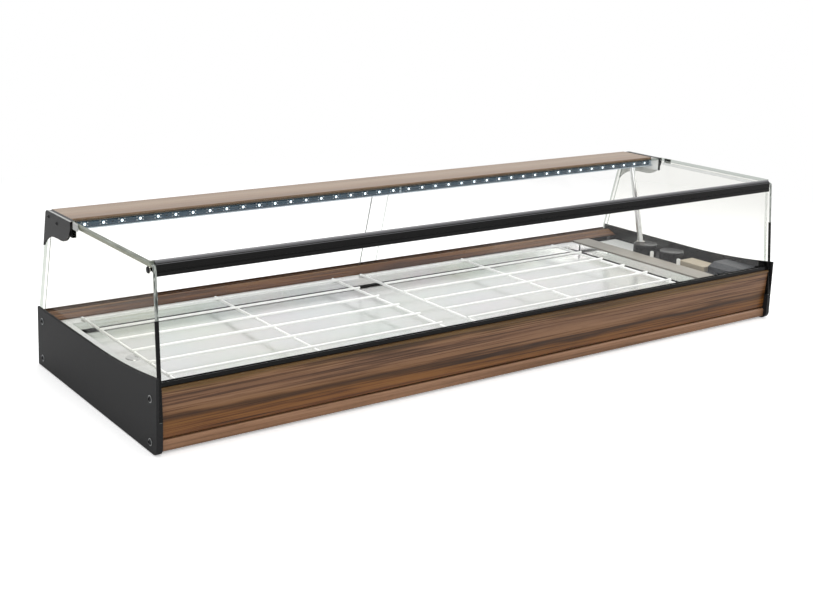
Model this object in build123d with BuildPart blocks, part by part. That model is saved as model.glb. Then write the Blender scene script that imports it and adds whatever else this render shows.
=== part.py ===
from build123d import *
import math
import os

# Refrigerated tapas display case, millimetres.
# X runs along the counter, -Y is the customer's side, +Y the operator's side, Z is up.
# The origin is at the middle of the footprint, on the counter.

# overall size
length = 1405.0
depth = 480.0

# end cheeks
cheek_thickness = 10.0
cheek_rear_height = 106.0
cheek_front_height = 122.0
cheek_rise_run = 220.0
cheek_corner_radius = 14.0
cheek_edge_radius = 2.0
screw_inset = 23.0
screw_low = 17.0
screw_high = 84.0
screw_head_radius = 5.0
screw_head_height = 2.5
screw_socket_width = 4.0
screw_socket_depth = 1.6
screw_shank_radius = 2.5
screw_sides = 16

# glazing
glass = 6.0
glass_gap = 0.2
glass_seat_height = 52.0
glass_rear_lean = 13.9
side_glass_top = 286.0
side_glass_setback = 21.0
side_glass_corner = 5.0
side_glass_step_drop = 24.0
front_glass_inset = 10.5
front_glass_foot_height = 101.0
front_glass_top_drop = 5.0
front_glass_top_setback = 15.0
top_glass_canopy_gap = 22.5

# customer's side panel
panel_top = 103.5
panel_top_inset = 5.5
panel_foot_inset = 10.5
panel_back_inset = 21.0
lip_height = 3.0
lip_overhang = 1.5
panel_cell_depth = 12.0
panel_cell_wall = 8.5
crease_height = 22.5
crease_depth = 2.0
skirting_gap = 1.5
skirting_foot = 4.0
skirting_inset = 8.0
channel_wall = 1.6
channel_height = 10.0

# operator's side
rear_panel_sheet = 2.0
rear_panel_inset = 14.0
rear_panel_return = 12.0
rear_panel_ledge = 13.0
sill_rise = 10.0
sill_crest_inset = 18.0
sill_foot_inset = 42.0
sill_wall = 3.0
vent_slot_width = 4.0
vent_slot_pitch = 9.0
vent_slot_height = 52.0
vent_slot_count = 9

# well, grids and base
flange_top = 88.0
sheet = 1.2
well_depth = 18.0
well_left_inset = 34.5
well_right_inset = 154.5
well_front_inset = 62.0
well_rear_inset = 72.0
well_corner = 2.0
well_lip = 1.8
flange_front_inset = 24.0
flange_rear_inset = 35.0
foam_rear_inset = 50.0
drain_radius = 9.0
drain_wall = 1.2
drain_inset = 40.0
drain_clearance = 1.0
drain_tail = 2.0
grid_length = 530.0
grid_depth = 325.0
grid_gap = 63.0
grid_inset = 57.5
grid_wire = 4.6
grid_rail = 5.0
grid_wires = 6
grid_weld = 0.8
wire_sides = 12
rail_overrun = 21.0
base_height = 6.0
base_sheet = 1.5
base_upstand = 16.0
foot_radius = 14.0
foot_inset_x = 90.0
foot_inset_y = 60.0
evaporator_width = 9.0
evaporator_height = 6.0
evaporator_gap = 0.3
evaporator_runs = 6
evaporator_inset = 60.0
evaporator_end = 80.0

# machine end
slot_width = 3.7
partition_sheet = 1.5
cap_rise = 2.0
cap_width = 48.5
deck_drop = 12.0
deck_sheet = 1.5
deck_gap = 0.3
deck_lip = 12.0
rear_cover_depth = 108.0
pot_radius = 26.0
pot_height = 26.0
pot_inset = 62.5
pot_insets_rear = (184.0, 261.0)
pot_rim = 2.0
pot_recess = 1.5
cable_hole = 8.0
driver_size = (42.0, 68.0, 14.0)
driver_inset = (52.5, 153.0)
control_plate = (86.0, 76.0, 6.0)
control_inset = (55.5, 72.5)
control_box = (58.0, 26.0)
control_box_bevel = 8.0
ring_radius = 9.0
ring_wall = 3.0
ring_height = 2.0
clip_insets_rear = (240.0, 315.0)
clip_size = (3.0, 8.0, 13.0)
compressor_radius = 33.0
compressor_length = 170.0
compressor_dome = 9.0
compressor_inset = (80.5, 170.0)
saddle_height = 18.0
saddle_width = 12.0
saddle_clearance = 1.5
fan_size = 66.0
fan_depth = 25.0
fan_bore = 30.5
fan_hub = 12.0
fan_corner = 6.0
fan_spider = 3.0
fan_arm = 5.0
fan_blades = 7
fan_pin_radius = 2.0
fan_pin_gap = 0.05
fan_pin_length = 10.0
blade_chord = 19.0
blade_thickness = 1.6
blade_pitch = 38.0
blade_gap = 0.8
fan_inset = 82.5
fan_front_inset = 57.0
condenser_size = (112.0, 32.0, 66.0)
condenser_front_inset = 102.0
condenser_fins = 17
fin_sheet = 0.8
fin_end = 4.0
condenser_tube = 3.0
condenser_tubes = 3
pipe_radius = 3.0
pipe_shift = (20.0, 12.0)
drier_radius = 8.0
drier_length = 70.0
drier_inset_rear = 200.0

# canopy over the operator's doors
canopy_front_inset = 136.0
canopy_rear_inset = 50.0
canopy_rise = 3.0
canopy_board_thickness = 6.0
canopy_profile_height = 9.0
canopy_wall = 1.8
led_drop = 18.0
led_lip = 6.0
led_lip_thickness = 1.5
led_board_width = 10.0
led_board_thickness = 1.2
led_count = 41
led_pitch = 1000.0 / 30.0
led_joint = 20
led_joint_gap = 4.0
led_chip = 5.0
led_chip_height = 1.6
bracket_skin = 3.8
bracket_glass_gap = 0.5
bracket_length = 122.0
bracket_drop = 65.0
bracket_corner = 8.0
bracket_inner = 1.0
bracket_screw_radius = 3.2
bracket_screw_head = 1.6
tube_radius = 6.0
tube_wall = 1.0
tube_setback = 14.0
tube_head_inset = 8.0
collar_radius = 9.5
collar_height = 4.0

# sliding doors and their tracks
door_glass = 4.0
door_overlap = 46.0
door_end_gap = 2.0
track_rib = 1.6
track_slot = 5.6
track_floor = 1.6
track_setback = 2.2
bottom_track_height = 8.0
top_track_height = 12.0
door_float = 0.35
door_lift_room = 2.5

# front top profile and its end bolts
profile_skirt = 13.0
profile_rise = 5.5
profile_wall = 2.0
profile_shelf = 12.0
profile_bevel = 5.5
profile_land = 7.4
profile_bead = 0.9
profile_bead_height = 6.0
profile_web = 9.1
profile_depth = 14.6
profile_gap = 0.2
bolt_inset = 11.5
bolt_drop = 14.5
bolt_head = 5.5
bolt_head_height = 4.0
bolt_shank = 2.5

# controls on the operator's side
knob_inset = 202.5
knob_z = 46.0
knob_radius = 17.0
knob_height = 12.0
knob_gap = 0.5
switch_inset = 262.5
switch_width = 22.0
switch_height = 30.0
rocker_width = 18.0
rocker_height = 25.0
rocker_pin = 1.5
rocker_setback = 1.0
gland_inset = 322.5
gland_radius = 10.0
gland_bore = 4.5

half = length / 2
inner = half - cheek_thickness
front = -depth / 2
rear = depth / 2
pocket = glass + glass_gap
glass_outer = inner + glass
lean = math.radians(glass_rear_lean)
section_left = Plane.YZ.offset(-inner)

cheek_rise_start = front + cheek_rise_run
side_glass_step = side_glass_top - side_glass_step_drop
side_glass_front_top = front + side_glass_setback
glass_front_foot = front + front_glass_inset
front_glass_top_height = side_glass_top - front_glass_top_drop
rear_glass_y = rear - 1.5
panel_face_top = front + panel_top_inset
panel_face_foot = front + panel_foot_inset
panel_back = front + panel_back_inset
skirting_face = front + skirting_inset
sill_top = flange_top + sill_rise
sill_crest = rear - sill_crest_inset
sill_foot = rear - sill_foot_inset

well_floor = flange_top - well_depth
well_left = -half + well_left_inset
well_right = half - well_right_inset
well_front = front + well_front_inset
well_rear = rear - well_rear_inset
flange_front = front + flange_front_inset
flange_rear = rear - flange_rear_inset
flange_right = well_right + well_lip
foam_rear = rear - foam_rear_inset
drain_x = well_left + drain_inset
grid_start = -half + grid_inset
pan_floor = base_height + base_sheet

partition_left = flange_right + slot_width
partition_top = flange_top + cap_rise
cap_right = partition_left + cap_width
deck_top = partition_top - deck_drop
pot_x = half - pot_inset
pot_y = tuple(rear - inset for inset in pot_insets_rear)
pot_top = deck_top + pot_height
driver_place = (half - driver_inset[0], front + driver_inset[1])
control_place = (half - control_inset[0], front + control_inset[1])
clip_places = tuple(rear - inset for inset in clip_insets_rear)
compressor_x = half - compressor_inset[0]
compressor_y = front + compressor_inset[1]
compressor_z = pan_floor + compressor_radius + saddle_clearance
fan_x = half - fan_inset
fan_z = pan_floor + fan_size / 2
fan_front = rear - fan_front_inset
condenser_front = rear - condenser_front_inset
condenser_z = pan_floor + condenser_size[2] / 2

canopy_front = rear - canopy_front_inset
canopy_rear = rear - canopy_rear_inset
canopy_top = side_glass_top + canopy_rise
led_face_foot = canopy_top - led_drop
top_glass_rear = canopy_front - top_glass_canopy_gap
bracket_front = top_glass_rear + bracket_glass_gap
tube_x = pot_x
tube_foot_y = pot_y[0] + tube_setback
tube_foot_z = pot_top - pot_recess
tube_head_y = canopy_front + tube_head_inset
profile_front = side_glass_front_top
profile_foot = front_glass_top_height - profile_skirt
profile_top = side_glass_top + profile_rise
bolt_y = profile_front + bolt_inset
bolt_z = profile_top - bolt_drop
knob_x = half - knob_inset
switch_x = half - switch_inset
gland_x = half - gland_inset

os.makedirs("parts", exist_ok=True)


def save(part, name):
    part.label = name
    export_step(part, f"parts/{name}.step")


def mirrored(part):
    return mirror(part, about=Plane.YZ)


# End cheeks: a moulded panel with a rising front and an inner pocket for the side glass.
def cheek_outline():
    with BuildLine() as outline:
        Line((rear, 0), (front + cheek_corner_radius, 0))
        RadiusArc(
            (front + cheek_corner_radius, 0),
            (front, cheek_corner_radius),
            cheek_corner_radius,
        )
        Line((front, cheek_corner_radius), (front, cheek_front_height))
        TangentArc(
            (cheek_rise_start, cheek_rear_height),
            (front, cheek_front_height),
            tangent=(-1, 0),
        )
        Line((cheek_rise_start, cheek_rear_height), (rear, cheek_rear_height))
        Line((rear, cheek_rear_height), (rear, 0))
    return outline.line


with BuildPart() as left_cheek:
    with BuildSketch(Plane.YZ.offset(-half)):
        with BuildLine():
            add(cheek_outline())
        make_face()
    extrude(amount=cheek_thickness)
    fillet(left_cheek.faces().sort_by(Axis.X)[0].edges(), cheek_edge_radius)
    with BuildSketch(section_left):
        with Locations((0, glass_seat_height)):
            Rectangle(depth, length, align=(Align.CENTER, Align.MIN))
    extrude(amount=-pocket, mode=Mode.SUBTRACT)
    with BuildSketch(Plane.YZ.offset(-half)):
        with GridLocations(depth - 2 * screw_inset, screw_high - screw_low, 2, 2):
            with Locations((0, (screw_high + screw_low) / 2)):
                Circle(screw_shank_radius + 0.1)
    extrude(amount=cheek_thickness, mode=Mode.SUBTRACT)
save(left_cheek.part, "left_cheek")
right_cheek = mirrored(left_cheek.part)
save(right_cheek, "right_cheek")

# Button-head screws that hold the cheeks to the base.
with BuildPart() as screws_left:
    with BuildSketch(Plane.YZ.offset(-half)):
        with GridLocations(depth - 2 * screw_inset, screw_high - screw_low, 2, 2):
            with Locations((0, (screw_high + screw_low) / 2)):
                RegularPolygon(screw_head_radius, screw_sides)
    extrude(amount=-screw_head_height)
    with BuildSketch(Plane.YZ.offset(-half - screw_head_height)):
        with GridLocations(depth - 2 * screw_inset, screw_high - screw_low, 2, 2):
            with Locations((0, (screw_high + screw_low) / 2)):
                RegularPolygon(screw_socket_width / 2, 6)
    extrude(amount=screw_socket_depth, mode=Mode.SUBTRACT)
    with BuildSketch(Plane.YZ.offset(-half)):
        with GridLocations(depth - 2 * screw_inset, screw_high - screw_low, 2, 2):
            with Locations((0, (screw_high + screw_low) / 2)):
                RegularPolygon(screw_shank_radius, screw_sides)
    extrude(amount=cheek_thickness - pocket)
screws = Compound(children=list(screws_left.part.solids()) + list(mirrored(screws_left.part).solids()))
save(screws, "cheek_screws")

# Side glass: leaning front and rear edges, stepped down under the end bracket.
glass_front_slope = (side_glass_front_top - front) / (side_glass_top - glass_seat_height)
rear_slope = math.tan(lean)


def glass_rear_at(z):
    return rear_glass_y - (z - cheek_rear_height) * rear_slope


with BuildPart() as left_side_glass:
    with BuildSketch(Plane.YZ.offset(-glass_outer)) as glass_face:
        with BuildLine():
            Polyline(
                (front + 0.5, glass_seat_height + glass_gap),
                (side_glass_front_top, side_glass_top),
                (top_glass_rear, side_glass_top),
                (top_glass_rear, side_glass_step),
                (glass_rear_at(side_glass_step), side_glass_step),
                (rear_glass_y, cheek_rear_height),
                (rear_glass_y, glass_seat_height + glass_gap),
                close=True,
            )
        make_face()
        fillet(glass_face.vertices().group_by(Axis.Y)[-1].sort_by(Axis.X)[0], side_glass_corner)
    extrude(amount=glass)
    with BuildSketch(Plane.YZ.offset(-glass_outer)):
        with Locations((bolt_y, bolt_z)):
            Circle(bolt_shank + 0.3)
    extrude(amount=glass, mode=Mode.SUBTRACT)
save(left_side_glass.part, "left_side_glass")
save(mirrored(left_side_glass.part), "right_side_glass")

# The front glass and its channel share one leaning section.
front_slope = front_glass_top_setback / (front_glass_top_height - front_glass_foot_height)
front_lean = math.degrees(math.atan(front_slope))
front_glass_section = Plane(
    origin=(-inner, glass_front_foot, front_glass_foot_height),
    x_dir=(0, math.cos(math.radians(front_lean)), -math.sin(math.radians(front_lean))),
    z_dir=(1, 0, 0),
)
front_glass_height = (front_glass_top_height - front_glass_foot_height) / math.cos(
    math.radians(front_lean)
)
channel_outer = glass + 2 * glass_gap + 2 * channel_wall

# Front panel: an extruded wood-grain profile with a top lip and an inward lean.
with BuildPart() as front_panel:
    with BuildSketch(section_left):
        with BuildLine():
            Polyline(
                (panel_back, panel_top),
                (panel_face_top - lip_overhang, panel_top),
                (panel_face_top - lip_overhang, panel_top - lip_height),
                (panel_face_top, panel_top - lip_height - lip_overhang),
                (panel_face_foot, crease_height + crease_depth),
                (panel_face_foot + crease_depth, crease_height),
                (panel_back, crease_height),
                close=True,
            )
        make_face()
    extrude(amount=2 * inner)
    with BuildSketch(section_left):
        with BuildLine():
            Polyline(
                (panel_back + 1, panel_top - panel_cell_wall),
                (panel_back - panel_cell_depth, panel_top - panel_cell_wall),
                (panel_back - panel_cell_depth * 0.6, crease_height + lip_height),
                (panel_back + 1, crease_height + lip_height),
                close=True,
            )
        make_face()
    extrude(amount=2 * inner, mode=Mode.SUBTRACT)
    fillet(front_panel.edges().filter_by(Axis.X).group_by(Axis.Y)[0], lip_overhang / 2)
    with BuildSketch(front_glass_section):
        with Locations((-glass_gap - channel_wall, -glass_gap - channel_wall)):
            Rectangle(channel_outer, channel_height + lip_height, align=(Align.MIN, Align.MIN))
    extrude(amount=2 * inner, mode=Mode.SUBTRACT)
save(front_panel.part, "front_panel")

# Skirting strip under the front panel.
with BuildPart() as front_skirting:
    with BuildSketch(section_left):
        with BuildLine():
            Polyline(
                (panel_back, crease_height - skirting_gap),
                (skirting_face + 1.5, crease_height - skirting_gap),
                (skirting_face, crease_height - skirting_gap - 2.5),
                (skirting_face, skirting_foot + 1),
                (skirting_face + 1, skirting_foot),
                (panel_back, skirting_foot),
                close=True,
            )
        make_face()
    extrude(amount=2 * inner)
save(front_skirting.part, "front_skirting")

# Front glass leans back from the channel to the top profile.
with BuildPart() as front_glass:
    with BuildSketch(front_glass_section):
        Rectangle(glass, front_glass_height, align=(Align.MIN, Align.MIN))
    extrude(amount=2 * inner)
    chamfer(front_glass.edges().filter_by(Axis.X), 0.6)
save(front_glass.part, "front_glass")

# Glazing channel: a black U profile let into the top of the front panel.
with BuildPart() as glazing_channel:
    with BuildSketch(front_glass_section):
        with Locations((-glass_gap - channel_wall, -glass_gap - channel_wall)):
            Rectangle(channel_outer, channel_height + channel_wall, align=(Align.MIN, Align.MIN))
        with Locations((-glass_gap, -glass_gap)):
            Rectangle(
                glass + 2 * glass_gap,
                channel_height + 1,
                align=(Align.MIN, Align.MIN),
                mode=Mode.SUBTRACT,
            )
    extrude(amount=2 * inner)
save(glazing_channel.part, "glazing_channel")

# Front top profile: holds the top edge of the front glass and the front edge of the top glass.
bead_foot = profile_foot + profile_bead_height
shelf_top = side_glass_top - glass_gap
with BuildPart() as front_top_profile:
    with BuildSketch(section_left):
        with BuildLine():
            Polyline(
                (profile_front, profile_foot),
                (profile_front, bead_foot),
                (profile_front + profile_bead, bead_foot + 0.6),
                (profile_front + profile_bead, bead_foot + 1.8),
                (profile_front, bead_foot + 2.4),
                (profile_front + 0.6, profile_top - profile_bevel + 0.5),
                (profile_front + profile_bevel, profile_top),
                (profile_front + profile_land, profile_top),
                (profile_front + profile_land, shelf_top),
                (profile_front + profile_land + profile_shelf, shelf_top),
                (profile_front + profile_land + profile_shelf, shelf_top - profile_wall),
                (profile_front + profile_depth, shelf_top - profile_wall),
                (profile_front + profile_depth, profile_foot + 4),
                (profile_front + profile_depth - profile_wall, profile_foot + 4),
                (profile_front + profile_depth - profile_wall, profile_top - profile_web),
                (profile_front + profile_wall + 0.6, profile_top - profile_web),
                (profile_front + profile_wall + 0.6, profile_foot),
                close=True,
            )
        make_face()
    extrude(amount=2 * inner)
    with BuildSketch(front_glass_section):
        with Locations((-glass_gap, front_glass_height / 2)):
            Rectangle(
                glass + 2 * glass_gap,
                front_glass_height / 2 + glass_gap,
                align=(Align.MIN, Align.MIN),
            )
    extrude(amount=2 * inner, mode=Mode.SUBTRACT)
save(front_top_profile.part, "front_top_profile")

# Top glass lies on the side glasses and on the profile's shelf.
top_glass_front = profile_front + profile_land + profile_gap
with BuildPart() as top_glass:
    with BuildSketch(Plane.XY.offset(side_glass_top)):
        with Locations((0, (top_glass_front + top_glass_rear) / 2)):
            Rectangle(2 * glass_outer, top_glass_rear - top_glass_front)
    extrude(amount=glass)
    fillet(top_glass.edges().filter_by(Axis.Z), 2.0)
    chamfer(top_glass.faces().sort_by(Axis.Z)[-1].edges(), 0.5)
save(top_glass.part, "top_glass")

# Bolts with round caps join the profile's ends through the side glasses.
with BuildPart() as bolt_left:
    with BuildSketch(Plane.YZ.offset(-glass_outer)):
        with Locations((bolt_y, bolt_z)):
            Circle(bolt_head)
    extrude(amount=-bolt_head_height)
    chamfer(bolt_left.faces().sort_by(Axis.X)[0].edges(), bolt_head_height / 4)
    with BuildSketch(Plane.YZ.offset(-glass_outer)):
        with Locations((bolt_y, bolt_z)):
            Circle(bolt_shank)
    extrude(amount=glass)
profile_bolts = Compound(children=[bolt_left.part.solid(), mirrored(bolt_left.part).solid()])
save(profile_bolts, "profile_bolts")

# Inclined section for the doors and tracks: across the tracks, then up the slope.
door_section = Plane(
    origin=(-inner, sill_crest + track_setback, flange_top),
    x_dir=(0, math.cos(lean), math.sin(lean)),
    z_dir=(1, 0, 0),
)
track_width = 3 * track_rib + 2 * track_slot
canopy_foot = canopy_top - canopy_board_thickness - canopy_profile_height
track_top = (canopy_foot - flange_top - track_width * math.sin(lean)) / math.cos(lean)
inner_slot = track_rib + track_slot / 2
outer_slot = 2 * track_rib + 1.5 * track_slot

with BuildPart() as door_bottom_track:
    with BuildSketch(door_section):
        Rectangle(track_width, bottom_track_height, align=(Align.MIN, Align.MIN))
        with Locations((inner_slot, track_floor), (outer_slot, track_floor)):
            Rectangle(
                track_slot,
                bottom_track_height,
                align=(Align.CENTER, Align.MIN),
                mode=Mode.SUBTRACT,
            )
    extrude(amount=2 * inner)
save(door_bottom_track.part, "door_bottom_track")

with BuildPart() as door_top_track:
    with BuildSketch(door_section.offset(bracket_inner)):
        with Locations((0, track_top - top_track_height)):
            Rectangle(track_width, top_track_height, align=(Align.MIN, Align.MIN))
        with Locations(
            (inner_slot, track_top - track_floor),
            (outer_slot, track_top - track_floor),
        ):
            Rectangle(
                track_slot,
                top_track_height,
                align=(Align.CENTER, Align.MAX),
                mode=Mode.SUBTRACT,
            )
    extrude(amount=2 * (inner - bracket_inner))
save(door_top_track.part, "door_top_track")

# Two glass doors, one in each track, overlapping in the middle.
door_width = (2 * inner - 2 * door_end_gap + door_overlap) / 2
door_foot = track_floor + door_float
door_height = track_top - track_floor - door_lift_room - door_foot


def door(slot, start):
    with BuildPart() as leaf:
        with BuildSketch(door_section.offset(start)):
            with Locations((slot, door_foot)):
                Rectangle(door_glass, door_height, align=(Align.CENTER, Align.MIN))
        extrude(amount=door_width)
        chamfer(leaf.edges().filter_by(Axis.X, reverse=True).filter_by(
            lambda e: e.length > door_height / 2), 0.5)
    return leaf.part


save(door(outer_slot, door_end_gap), "left_door")
save(door(inner_slot, 2 * inner - door_end_gap - door_width), "right_door")

# Rear sill: a wood-grain strip that slopes down from the doors to the well.
with BuildPart() as rear_sill:
    with BuildSketch(section_left):
        with BuildLine():
            Polyline(
                (sill_foot, flange_top),
                (sill_foot, flange_top + 1.2),
                (sill_crest - 1.5, sill_top),
                (sill_crest, sill_top),
                (sill_crest, flange_top),
                (sill_crest - sill_wall, flange_top),
                (sill_crest - sill_wall, sill_top - sill_wall - 1),
                (sill_foot + 8, flange_top),
                close=True,
            )
        make_face()
    extrude(amount=2 * inner)
save(rear_sill.part, "rear_sill")

# Rear panel: a folded sheet with cooling slots and the openings of the controls.
rear_face = rear - rear_panel_inset
with BuildPart() as rear_panel:
    with BuildSketch(section_left):
        with Locations((rear_face, skirting_foot)):
            Rectangle(rear_panel_sheet, flange_top - skirting_foot, align=(Align.MAX, Align.MIN))
            Rectangle(rear_panel_return, rear_panel_sheet, align=(Align.MAX, Align.MIN))
        with Locations((rear_face + rear_panel_ledge, flange_top)):
            Rectangle(
                rear_face + rear_panel_ledge - sill_crest + sill_wall,
                rear_panel_sheet,
                align=(Align.MAX, Align.MAX),
            )
    extrude(amount=2 * inner)
    with BuildSketch(Plane.XZ.offset(-rear_face)):
        with Locations((fan_x, fan_z)):
            with GridLocations(vent_slot_pitch, 0, vent_slot_count, 1):
                SlotOverall(vent_slot_height, vent_slot_width, rotation=90)
        with Locations((knob_x, knob_z)):
            Circle(4.0)
        with Locations((switch_x, knob_z)):
            Rectangle(switch_width - 3, switch_height - 3)
        with Locations((gland_x, knob_z)):
            Circle(gland_radius - 3)
    extrude(amount=rear_panel_sheet + 1, mode=Mode.SUBTRACT)
save(rear_panel.part, "rear_panel")

# Base pan: a folded tray between the cheeks.
pan_front = panel_back + 0.5
pan_rear = rear_face - rear_panel_return - 1
with BuildPart() as base_pan:
    with BuildSketch(section_left):
        with Locations((pan_front, base_height)):
            Rectangle(pan_rear - pan_front, base_sheet, align=(Align.MIN, Align.MIN))
            Rectangle(base_sheet, base_upstand, align=(Align.MIN, Align.MIN))
        with Locations((pan_rear, base_height)):
            Rectangle(base_sheet, base_upstand, align=(Align.MAX, Align.MIN))
    extrude(amount=2 * inner)
    with BuildSketch(Plane.XY.offset(base_height)):
        with Locations((drain_x, 0)):
            Circle(drain_radius + drain_clearance)
    extrude(amount=base_sheet, mode=Mode.SUBTRACT)
save(base_pan.part, "base_pan")

with BuildPart() as feet:
    with BuildSketch():
        with GridLocations(length - 2 * foot_inset_x, depth - 2 * foot_inset_y, 2, 2):
            Circle(foot_radius)
    extrude(amount=base_height)
save(feet.part, "feet")

# Stainless well: a shallow folded tray with a broad flange, and a narrow lip at the machine end.
well_x = (well_left + well_right) / 2
well_y = (well_front + well_rear) / 2
with BuildPart() as well:
    with BuildSketch(Plane.XY.offset(flange_top - sheet)):
        with Locations(((flange_right - inner) / 2, (flange_front + flange_rear) / 2)):
            Rectangle(flange_right + inner - 2 * glass_gap, flange_rear - flange_front)
    extrude(amount=sheet)
    with BuildSketch(Plane.XY.offset(well_floor - sheet)):
        with Locations((well_x, well_y)):
            Rectangle(well_right - well_left + 2 * sheet, well_rear - well_front + 2 * sheet)
    extrude(amount=flange_top - well_floor)
    with BuildSketch(Plane.XY.offset(well_floor)):
        with Locations((well_x, well_y)):
            Rectangle(well_right - well_left, well_rear - well_front)
    extrude(amount=flange_top - well_floor, mode=Mode.SUBTRACT)
    with BuildSketch(Plane.XY.offset(well_floor - sheet)):
        with Locations((drain_x, 0)):
            Circle(drain_radius - drain_wall)
    extrude(amount=sheet, mode=Mode.SUBTRACT)
save(well.part, "well")

# Drain spigot: a short tube from the well's hole down through the base pan.
with BuildPart() as drain_spigot:
    with BuildSketch(Plane.XY.offset(well_floor - sheet)):
        with Locations((drain_x, 0)):
            Circle(drain_radius)
            Circle(drain_radius - drain_wall, mode=Mode.SUBTRACT)
    extrude(amount=-(well_floor - sheet - base_height + drain_tail))
save(drain_spigot.part, "drain_spigot")

# Evaporator: one flattened tube in even runs, clamped under the well's floor.
evaporator_z = well_floor - sheet - evaporator_height / 2 - evaporator_gap
run_pitch = (well_rear - well_front - evaporator_inset) / (evaporator_runs - 1)
run_left = well_left + evaporator_end
run_right = well_right - evaporator_end
first_run = well_front + evaporator_inset / 2
turn = run_pitch / 2
with BuildPart() as evaporator_tube_part:
    with BuildLine(Plane.XY.offset(evaporator_z)) as coil:
        for i in range(evaporator_runs):
            y = first_run + i * run_pitch
            Line((run_left, y), (run_right, y))
            if i < evaporator_runs - 1:
                end = run_right if i % 2 == 0 else run_left
                side = 1 if i % 2 == 0 else -1
                ThreePointArc((end, y), (end + side * turn, y + turn), (end, y + run_pitch))
    with BuildSketch(Plane(origin=(run_left, first_run, evaporator_z), x_dir=(0, 1, 0), z_dir=(1, 0, 0))):
        Rectangle(evaporator_width, evaporator_height)
    sweep(path=coil.line)
save(evaporator_tube_part.part, "evaporator_coil")

# Insulation: a foam slab under the well, relieved for the coil and the drain.
foam_top = evaporator_z - evaporator_height / 2 - evaporator_gap
with BuildPart() as insulation:
    with BuildSketch(Plane.XY.offset(pan_floor)):
        with Locations(((partition_left - inner) / 2, (pan_front + foam_rear) / 2 + 1)):
            Rectangle(partition_left + inner - 2, foam_rear - pan_front - 2)
    extrude(amount=foam_top - pan_floor)
    with BuildSketch(Plane.XY.offset(pan_floor)):
        with Locations((drain_x, 0)):
            Circle(drain_radius + drain_clearance)
    extrude(amount=foam_top, mode=Mode.SUBTRACT)
save(insulation.part, "insulation")

# Wire grids: cross wires welded on rails whose ends rest on the well's flanges.
rail_z = flange_top + grid_rail / 2
wire_z = rail_z + (grid_rail + grid_wire) / 2 - grid_weld


def grid(start):
    middle = start + grid_length / 2
    with BuildPart() as frame:
        with BuildSketch(Plane.XZ.offset(grid_depth / 2 + rail_overrun)):
            with GridLocations((grid_length - grid_rail) / 2, 0, 3, 1):
                with Locations((middle, rail_z)):
                    RegularPolygon(grid_rail / 2, wire_sides)
        extrude(amount=-grid_depth - 2 * rail_overrun)
        with BuildSketch(Plane.YZ.offset(start - grid_wire / 2)):
            with GridLocations((grid_depth - grid_wire) / (grid_wires - 1), 0, grid_wires, 1):
                with Locations((0, wire_z)):
                    RegularPolygon(grid_wire / 2, wire_sides)
        extrude(amount=grid_length + grid_wire)
    return frame.part


save(grid(grid_start), "left_grid")
save(grid(grid_start + grid_length + grid_gap), "right_grid")

# Machine partition: a folded sheet with a broad cap beside the well and a lip down to the deck.
machine_rear = sill_foot - 2
with BuildPart() as partition:
    with BuildSketch(Plane.XZ.offset(-machine_rear)):
        with Locations((partition_left, pan_floor)):
            Rectangle(partition_sheet, partition_top - pan_floor, align=(Align.MIN, Align.MIN))
        with Locations((partition_left, partition_top)):
            Rectangle(cap_width, partition_sheet, align=(Align.MIN, Align.MAX))
        with Locations((cap_right, partition_top)):
            Rectangle(partition_sheet, deck_drop + deck_sheet, align=(Align.MAX, Align.MAX))
    extrude(amount=machine_rear - flange_front)
save(partition.part, "machine_partition")

# Machine deck over the compressor, and the pale cover plate behind it.
deck_front = flange_front
deck_right = inner - deck_gap
deck_rear = machine_rear - rear_cover_depth
with BuildPart() as deck:
    with BuildSketch(Plane.XY.offset(deck_top - deck_sheet)):
        with Locations(((cap_right + deck_right) / 2, (deck_front + deck_rear) / 2)):
            Rectangle(deck_right - cap_right, deck_rear - deck_front)
        with Locations((tube_x, tube_foot_y)):
            Circle(cable_hole, mode=Mode.SUBTRACT)
    extrude(amount=deck_sheet)
    with BuildSketch(Plane.XY.offset(deck_top - deck_sheet - deck_lip)):
        with Locations((deck_right, (deck_front + deck_rear) / 2)):
            Rectangle(deck_sheet, deck_rear - deck_front, align=(Align.MAX, Align.CENTER))
    extrude(amount=deck_lip)
save(deck.part, "machine_deck")

with BuildPart() as deck_cover:
    with BuildSketch(Plane.XY.offset(deck_top - deck_sheet)):
        with Locations(((cap_right + deck_right) / 2, (deck_rear + machine_rear) / 2)):
            Rectangle(deck_right - cap_right, machine_rear - deck_rear)
    extrude(amount=deck_sheet)
    with BuildSketch(Plane.XY.offset(deck_top - deck_sheet - deck_lip)):
        with Locations((deck_right, (deck_rear + machine_rear) / 2)):
            Rectangle(deck_sheet, machine_rear - deck_rear, align=(Align.MAX, Align.CENTER))
    extrude(amount=deck_lip)
save(deck_cover.part, "deck_rear_cover")


# Two upright pots: the relay cap that the wiring tube rises from, and the starting capacitor.
def pot(y, hole):
    with BuildPart() as can:
        with BuildSketch(Plane.XY.offset(deck_top)):
            with Locations((pot_x, y)):
                Circle(pot_radius)
        extrude(amount=pot_height)
        chamfer(can.faces().sort_by(Axis.Z)[-1].edges(), pot_rim / 4)
        with BuildSketch(Plane.XY.offset(pot_top)):
            with Locations((pot_x, y)):
                Circle(pot_radius - pot_rim)
        extrude(amount=-pot_recess, mode=Mode.SUBTRACT)
        if hole:
            with BuildSketch(Plane.XY.offset(deck_top)):
                with Locations((tube_x, tube_foot_y)):
                    Circle(tube_radius - tube_wall)
            extrude(amount=pot_height, mode=Mode.SUBTRACT)
    return can.part


save(pot(pot_y[0], True), "relay_cap")
save(pot(pot_y[1], False), "start_capacitor")

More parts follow.
